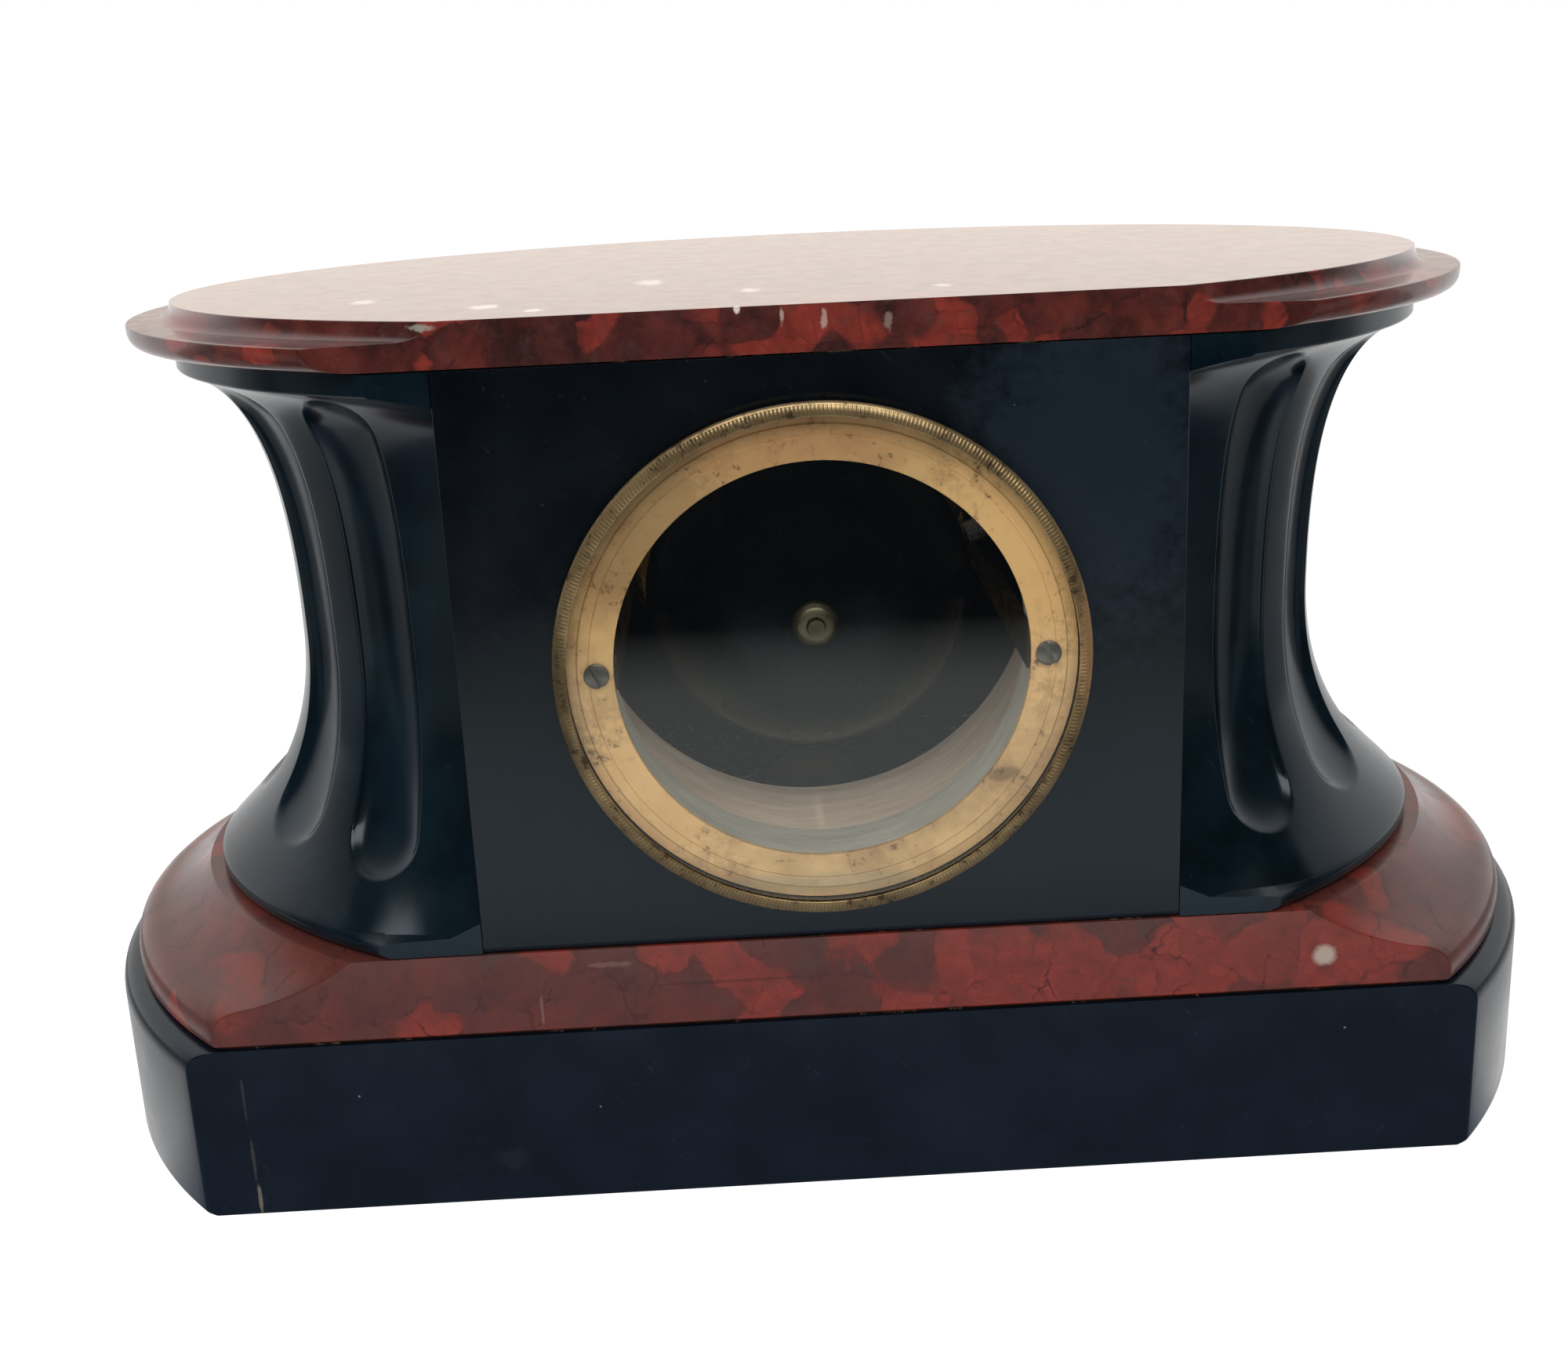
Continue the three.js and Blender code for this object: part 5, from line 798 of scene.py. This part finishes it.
def hand(name, length, bore, boss, moon, front, degrees):
    """A hand as a flat cut-out with rubbed edges, turned to its time."""
    outline = []
    shank, disc = 0.9, 2.5
    root, neck = math.asin(shank / boss), math.asin(shank / disc)
    quarter = math.pi / 2
    for radius, up, start, end in ((boss, 0, quarter + root, 5 * quarter - root),
                                   (disc, moon, neck - quarter, quarter - neck), (0, length, 0, 0),
                                   (disc, moon, quarter + neck, 3 * quarter - neck)):
        steps = 40 if radius else 0
        for k in range(steps + 1):
            angle = start + (end - start) * k / max(steps, 1)
            outline.append((radius * math.cos(angle), up + radius * math.sin(angle)))
    loops = [outline]
    for radius, up in ((bore, 0), (disc - 0.9, moon)):
        loops.append([(x, z + up) for x, _, z in circle(radius, 0, 0, 0, 40)])
    flat = bpy.data.curves.new(name, "CURVE")
    flat.dimensions, flat.fill_mode, flat.bevel_resolution = "2D", "BOTH", 2
    flat.extrude, flat.bevel_depth = (HAND_THICKNESS / 2 - HAND_EASE) * MM, HAND_EASE * MM
    flat.offset = -HAND_EASE * MM
    for loop in loops:
        line = flat.splines.new("POLY")
        line.points.add(len(loop) - 1)
        for point, (x, z) in zip(line.points, loop):
            point.co = (x * MM, z * MM, 0, 1)
        line.use_cyclic_u = True
    sheet = bpy.data.objects.new(name, flat)
    bpy.context.collection.objects.link(sheet)
    mesh = evaluated(sheet)
    bpy.data.objects.remove(sheet)
    middle = Vector((0, front + HAND_THICKNESS / 2, AXIS)) * MM
    mesh.transform(Matrix.Translation(middle) @ Matrix.Rotation(math.radians(degrees), 4, "Y")
                   @ Matrix.Rotation(math.pi / 2, 4, "X"))
    shape = bmesh.new()
    shape.from_mesh(mesh)
    return made(name, shape, 30)


for word, *cut in (("hour", 24, 3.3, 4.8, 16.3, -64.4, 305), ("minute", 36, 2.1, 3.6, 24.5, -66.3, 60)):
    settle(hand(f"{word}_hand_cut", *cut), blued_steel, "blued_steel", f"{word}_work", f"{word}_hand")
shape = bmesh.new()
turned(shape, [(0.86, -67.5), (1.3, -67.5), (2.2, -67.1), (2.6, -66.6), (2.6, -66.35), (0.86, -66.35)], 0.12,
       sides=48)
settle(made("hand_collet_dome", shape), polished_brass, "brass", "minute_work", "hand_collet")

# Front door: a coved bezel of cast and turned brass on the side hinge, with a glass sprung in from
# behind. Clear window glass shows only its polish and a faint, uneven tint.
shape = bmesh.new()
turned(shape, [(46.9, -66.3), (48.5, -66.3), (48.5, -72.3), (47.5, -74.3), (45.5, -74.3), (44.6, -73.2),
               (42.5, -72.3), (42.5, -71.35), (46.9, -71.35)], 0.4)
knuckle(shape, -3, 3)
loft(shape, bar(-49.4, -47.7, -67.9, -66.3, AXIS - 3, AXIS + 3))
settle(made("door_bezel_ring", shape), polished_brass, "brass", "front_door", "door_bezel")


def glass(name, radius, front, back):
    """A round glass with ground edges."""
    rows = [(radius - 0.3, front), (radius, front + 0.25), (radius, back - 0.25), (radius - 0.3, back)]
    pane = lofted(name, [circle(r, y) for r, y in eased(rows, 0.1)], crease=30)
    pane.visible_shadow = False  # the lamps shine through it
    return pane


clear_glass, tree, shader, spot = finish_named("clear_glass", Transmission_Weight=1.0, IOR=1.45,
                                               Roughness=0.0)
film = add(tree, "ShaderNodeTexNoise", {"Vector": spot, "Scale": 1 / (18 * MM), "Detail": 5})
feed(tree, shader, {"Base Color": layered(tree, linear("#fafcfb"), [(film, "#f2f6f3")])})
settle(glass("door_glass_disc", 46.6, -71.3, -70.1), clear_glass, "clear_glass", "front_door", "door_glass")

# Bell: a dome of dark bell metal on a bent steel stand, held by a round nut. It fills the back opening
# and is what the hammer strikes.
BELL = (35, 20, 40)  # radius at the mouth, and where the mouth and the top are

# Bell metal goes almost black with age, smooth enough for a dull mirror and faintly ringed by the lathe.
bell_metal, tree, shader, spot = finish_named("dark_bell_metal", Metallic=1.0)
bloom, _, colour = mottled(tree, spot, 16, 6, 0.6, (0.36, 0.66), "#14191c", "#1e2122")
rough = add(tree, "ShaderNodeMapRange", {0: bloom, 1: 0.3, 2: 0.7, 3: 0.22, 4: 0.34})
rings = lathe_rings(tree, spot, 0.9, 0.4)
bump = add(tree, "ShaderNodeBump", {"Strength": 0.01, "Distance": 0.1 * MM, "Height": rings})
feed(tree, shader, {"Base Color": colour, "Roughness": rough, "Normal": bump})


def dome(radius, mouth, top, steps):
    """Profile of a bell from its hole to its mouth."""
    depth = top - mouth
    bulge = (radius * 0.88, top - depth * 0.38)
    return [(2, top)] + curve((2, top), (radius * 0.62, top), bulge, (radius, mouth), steps=steps)


shape = bmesh.new()
outside = dome(*BELL, 48)
inside = dome(BELL[0] - 1.5, BELL[1] + 0.3, BELL[2] - 1.5, 32)
turned(shape, outside + [(BELL[0] - 0.5, BELL[1] - 0.2)] + inside[::-1], 0.2)
settle(made("bell_dome", shape, 40), bell_metal, "bell_bronze", "case", "bell")
shape = bmesh.new()
turned(shape, [(1.75, 40.05), (4.6, 40.05), (4.6, 41.5), (3.7, 42.6), (2.6, 43), (1.75, 43)], 0.3, sides=64)
settle(made("bell_nut_round", shape), browned_steel, "steel", "case", "bell_nut")

# Back ring: a flat brass annulus over the hole, its outer edge turned down to a shoulder for the cover.
# Two slotted steel screws draw it to the ends of the straps.
RING_FACE = 63.7

ring_brass = brass("lacquered_brass", "#deb47a", "#b08659", "#6e4d2c", 0.14, 0.42, 0.5, 0.4, [
    ("#5a4426", (-40.4, RING_FACE, 122.5), (0.9, 2, 1.6), 0.7),
    ("#5a4426", (-40.9, RING_FACE, 119), (0.7, 2, 1.2), 0.6),
    ("#6b5434", (-33.5, RING_FACE, 89), (3.4, 2, 1.6), 0.6),
    ("#c08a5c", (4, RING_FACE, 155), (24, 2, 7), 0.5),
    # The pale #eebe80 patches at the upper right and lower left and the duller #9d7b51 one at the upper left
    # are painted light and shade.
    ("#9d7b51", (32, RING_FACE, 142), (17, 2, 17), 0.7), ("#eebe80", (-37, RING_FACE, 132), (16, 2, 26), 0.8),
    ("#eebe80", (33, RING_FACE, 87), (17, 2, 19), 0.65), ("#a8977a", (2, 63.6, 68), (24, 2, 2.6), 0.5)])
shape = bmesh.new()
turned(shape, [(39.1, 62.7), (48, 62.7), (48, 63.3), (46.1, 63.3), (45.8, 63.6), (44.1, 63.6), (43.9, 63.45),
               (43.7, RING_FACE), (39.1, RING_FACE)], 0.1)
settle(made("back_ring_annulus", shape), ring_brass, "brass", "case", "back_ring")


def slotted_screw(name, x, degrees):
    """A cheese-head screw with a domed top and a sawn slot."""
    rows = [(1.1, 59.4), (1.1, 63.75), (2.4, 63.75), (2.4, 64.3), (1.8, 64.55), (0.5, 64.65)]
    screw = lofted(name, [circle(r, y, x, AXIS, 48) for r, y in eased(rows, 0.12)])
    slot = lofted("slot", bar(-0.42, 0.42, 63.9, 65.5, -3, 3))
    turn = Matrix.Rotation(math.radians(degrees), 4, "Y")
    slot.data.transform(Matrix.Translation(Vector((x, 0, AXIS)) * MM) @ turn)
    return carve(screw, slot)


worn_steel = steel("worn_steel", "#a0968c", "#736a62", 0.34)
for word, x, degrees in (("left", -42.3, 20), ("right", 42.3, 23)):
    screw = slotted_screw(f"screw_{word}_slotted", x, degrees)
    settle(screw, worn_steel, "steel", "case", f"strap_screw_{word}")

# Rear cover: a narrow brass bezel with a milled edge that pushes over the back ring, gone brown with
# age, and its flat glass. The ridges of the milling are cut all round the rim.
brown_brass = brass("brown_brass", "#a58e66", "#756145", "#3f3324", 0.18, 0.28, metal=0.75, stains_and_painted_light=[
    # The pale upright strip on the rim at X -49 is a painted highlight, and the dark one at X 49 is painted
    # shade.
    ("#c79c72", (-49.2, 66.5, 116), (1.5, 3, 18), 0.7), ("#3f3420", (49, 66.5, 108), (2, 3, 22), 0.5)])
milling, sizes, result = ring_tree("milled_edge", Ridge="Float", Foot="Vector", Bend="Vector", Crest="Vector")
over = add(milling, "GeometryNodeCurveQuadraticBezier",
           {"Resolution": 6, "Start": sizes["Foot"], "Middle": sizes["Bend"], "End": sizes["Crest"]})
section = add(milling, "GeometryNodeCurvePrimitiveCircle", {"Resolution": 5, "Radius": sizes["Ridge"]})
ridge = add(milling, "GeometryNodeCurveToMesh", {"Curve": over, "Profile Curve": section, "Fill Caps": True})
set_round(milling, sizes, result, ridge)
foot, bend, crest = (49.8, 66.2), (49.1, 66.75), (47.9, 66.8)  # across the milled front, as radius and place
profile = [(48.5, 62.7), (49.3, 62.7), (49.3, 64.5)]
profile += curve((49.3, 64.5), (50.7, 64.4), (50.6, 66.1), foot, steps=10) + curve(foot, bend, crest, steps=6)
profile += [(47.7, 66.7), (47.7, 66.3), (48.5, 66.3)]
shape = bmesh.new()
turned(shape, profile, 0.1)
bezel = made("rear_cover_ring", shape)
grown(bezel, milling, count=420, ridge=0.22 * MM, radius=foot[0] * MM, face=foot[1] * MM, height=AXIS * MM,
      foot=(0, 0, 0), bend=((bend[0] - foot[0]) * MM, 0, (foot[1] - bend[1]) * MM),
      crest=((crest[0] - foot[0]) * MM, 0, (foot[1] - crest[1]) * MM), coat=brown_brass)
settle(bezel, brown_brass, "tarnished_brass", "rear_cover", "rear_cover_bezel")
pane = glass("rear_cover_pane", 48.2, 65.05, 66.25)
settle(pane, clear_glass, "clear_glass", "rear_cover", "rear_cover_glass")

# Top slab: red marble with a coved edge round the flat top and a rounded underside, bedded on the body.
# Its back edge is chipped white in places.
SLAB = (141, 81.4)  # half length and half depth at the lip
SLAB_TOP = 180.5
LEDGE = (-5.8, 176.9)  # inner edge of the ledge round the lip
FLECKS = ((60, 46, 3, 3, 0.9), (30, 20, 3, 5, 0.8), (86, 30, 2.5, 3.5, 0.8), (50, 54, 2, 2, 0.9),
          (10, 40, 2, 3, 0.8), (-26, 46, 2, 2.5, 0.7))  # white flecks on top: place, reach, strength

chips = [("#a08b80", (5, BACK, 178.5), (0.4, 3, 1.5), 0.7),
         ("#a08b80", (-2.5, BACK, 177.5), (0.6, 3, 2), 0.65),
         ("#c9bcb0", (13, BACK, 180.2), (0.7, 3, 0.8), 0.9),
         ("#8c786f", (-14, BACK, 177), (0.8, 3, 1.6), 0.45),
         ("#8f9186", (69.3, BACK, 179.4), (2.8, 3, 0.7), 0.6)]
chips += [("#ece6de", (x, y, SLAB_TOP), (wide, deep, 2), strength) for x, y, wide, deep, strength in FLECKS]
chips += [("#3a2a28", (-66, -38, SLAB_TOP), (2, 5, 2), 0.9)]
slab_marble = red_marble("polished_red_marble_top", 1.0, "#2a1412", "#54221c", "#75271d", 6.5,
                         patches=[((-5, BACK, 176), 30)], marks=chips)
profile = [(-4.3, SLAB_FOOT)] + curve((-4.3, SLAB_FOOT), (0, SLAB_FOOT), (0, 175.5)) + [(0, 176.7)]
profile += curve((0, 176.7), LEDGE, steps=4) + curve(LEDGE, (-8.6, 177.0), (-9.0, SLAB_TOP), steps=12)
profile += [(-9.5, SLAB_TOP)]
slab = lofted("top_slab_coved", [oval(reach, z, size=SLAB) for reach, z in eased(profile, 0.35)])
settle(slab, slab_marble, "red_marble", "case", "top_slab")

# Studio: a pale floor that keeps a faint shadow, a white surround behind the clock and a dim room on
# the camera's side, one broad lamp above and a smaller one to the left.
ROOM = 0.03  # what polished stone and glass mirror from the dim room behind the camera
# The table that polish and glass mirror has the clock's shadow painted in: a dim blue band from 0.062 to 0.15
# m, just off the flat back on the camera's side.
TABLE_WITH_PAINTED_SHADOW = ((0.045, "#f6f6f6"), (0.062, "#6c7488"), (0.12, "#767e90"), (0.15, "#949ca6"), (0.175, "#e6f0f4"),
         (0.30, "#dde4e2"), (0.34, "#d2d8d4"), (0.41, "#343a40"))  # and from the table, by metres to the back
FLOOR = 4000  # half its width


def mirrored_rays(tree):
    """Rays that come off polish or through glass with no matt bounce before, and the light path itself."""
    path = add(tree, "ShaderNodeLightPath").outputs
    bounced = add(tree, "ShaderNodeMath", {0: path["Is Glossy Ray"], 1: path["Is Transmission Ray"]},
                  operation="MAXIMUM")
    matt = add(tree, "ShaderNodeMath", {0: path["Diffuse Depth"], 1: 0.5}, operation="LESS_THAN")
    return add(tree, "ShaderNodeMath", {0: bounced, 1: matt}, operation="MULTIPLY"), path


floor_paint, tree, _, spot = finish_named("pale_floor")
along = add(tree, "ShaderNodeSeparateXYZ", {0: spot}).outputs
table = add(tree, "ShaderNodeValToRGB", {0: along[1]})
for step, (place, tone) in enumerate(TABLE_WITH_PAINTED_SHADOW):
    stop = table.color_ramp.elements[0] if step == 0 else table.color_ramp.elements.new(place)
    stop.position, stop.color = place, linear(tone)
table.color_ramp.elements[-1].color = linear(TABLE_WITH_PAINTED_SHADOW[-1][1])
aside = add(tree, "ShaderNodeMath", {0: along[0]}, operation="ABSOLUTE")
within = add(tree, "ShaderNodeMapRange", {0: aside, 1: 0.16, 2: 0.27, 3: 1, 4: 0.27})
before = add(tree, "ShaderNodeMath", {0: along[1], 1: -0.12}, operation="LESS_THAN")
level = add(tree, "ShaderNodeMath", {0: within, 1: before}, operation="MAXIMUM")
mirrored = add(tree, "ShaderNodeEmission", {"Color": table, "Strength": level})
paint = add(tree, "ShaderNodeBsdfDiffuse", {"Color": linear("#969696")})
glow = add(tree, "ShaderNodeEmission", {"Strength": 0.85})
seen = add(tree, "ShaderNodeAddShader", {0: paint, 1: glow})
clear, _ = mirrored_rays(tree)
mixed = add(tree, "ShaderNodeMixShader", {0: clear, 1: seen, 2: mirrored})
feed(tree, tree.nodes["Material Output"], {"Surface": mixed})
floor = lofted("studio_floor", bar(-FLOOR, FLOOR, -FLOOR, FLOOR, -40, -0.05))
floor.data.materials.append(floor_paint)

world = bpy.data.worlds.new("studio_surround")
bpy.context.scene.world = world
world.use_nodes = True
tree = world.node_tree
clear, path = mirrored_rays(tree)
outward = add(tree, "ShaderNodeTexCoord").outputs["Generated"]
facing = add(tree, "ShaderNodeSeparateXYZ", {0: outward}).outputs[1]
toward = add(tree, "ShaderNodeMapRange", {0: facing, 1: -0.3, 2: 0.2, 3: 1, 4: ROOM},
             interpolation_type="SMOOTHSTEP")
level = add(tree, "ShaderNodeMix", {0: clear, 2: 0.7, 3: toward})
whole = add(tree, "ShaderNodeMix", {0: path["Is Camera Ray"], 2: level, 3: 1.0})
beyond = add(tree, "ShaderNodeMapRange", {0: facing, 1: -0.95, 2: -0.6, 3: 1, 4: 0})
wall = add(tree, "ShaderNodeMath", {0: clear, 1: beyond}, operation="MULTIPLY")
warm = layered(tree, (1, 1, 1, 1), [(wall, "#fff2e8")])
feed(tree, tree.nodes["Background"], {"Strength": whole, "Color": warm})


def lamp(name, place, aim, wide, tall, watts, mirrored):
    """A soft lamp with an oblong face, pointed at a spot on the clock."""
    light = bpy.data.lights.new(name, "AREA")
    light.shape, light.size, light.size_y, light.energy = "RECTANGLE", wide, tall, watts
    holder = bpy.data.objects.new(name, light)
    bpy.context.collection.objects.link(holder)
    way = (Vector(aim) - Vector(place)).to_track_quat("-Z", "Y").to_matrix().to_4x4()
    holder.matrix_world = Matrix.Translation(Vector(place)) @ way
    holder.visible_glossy = mirrored


lamp("overhead_lamp", (0.05, 0.62, 0.85), (0, 0.02, 0.12), 0.9, 0.5, 5.0, True)
lamp("left_lamp", (0.72, 0.24, 0.75), (0.08, 0.04, 0.08), 0.36, 0.36, 2.2, False)

# Camera: placed as the photograph was taken, behind the clock and a little above it, with the
# photograph's own tilt and framing.
EYE = (14.79, 339.96, 218.66)
YAW, PITCH, ROLL = (math.radians(angle) for angle in (0.987, 13.749, -2.616))
forward = Vector((-math.sin(YAW) * math.cos(PITCH), -math.cos(YAW) * math.cos(PITCH), -math.sin(PITCH)))
level_right = Vector((-math.cos(YAW), math.sin(YAW), 0))
level_up = level_right.cross(forward)
right = level_right * math.cos(ROLL) + level_up * math.sin(ROLL)
up = level_up * math.cos(ROLL) - level_right * math.sin(ROLL)
lens = bpy.data.cameras.new("camera")
lens.sensor_fit, lens.sensor_width, lens.lens = "HORIZONTAL", 36, 36.054
lens.shift_x, lens.shift_y = 0.0151, -0.1347
lens.clip_start = 0.01
camera = bpy.data.objects.new("camera", lens)
bpy.context.collection.objects.link(camera)
turn = Matrix((right, up, -forward)).transposed().to_4x4()
camera.matrix_world = Matrix.Translation(Vector(EYE) * MM) @ turn
bpy.context.scene.camera = camera
bpy.context.scene.view_settings.view_transform = "Standard"
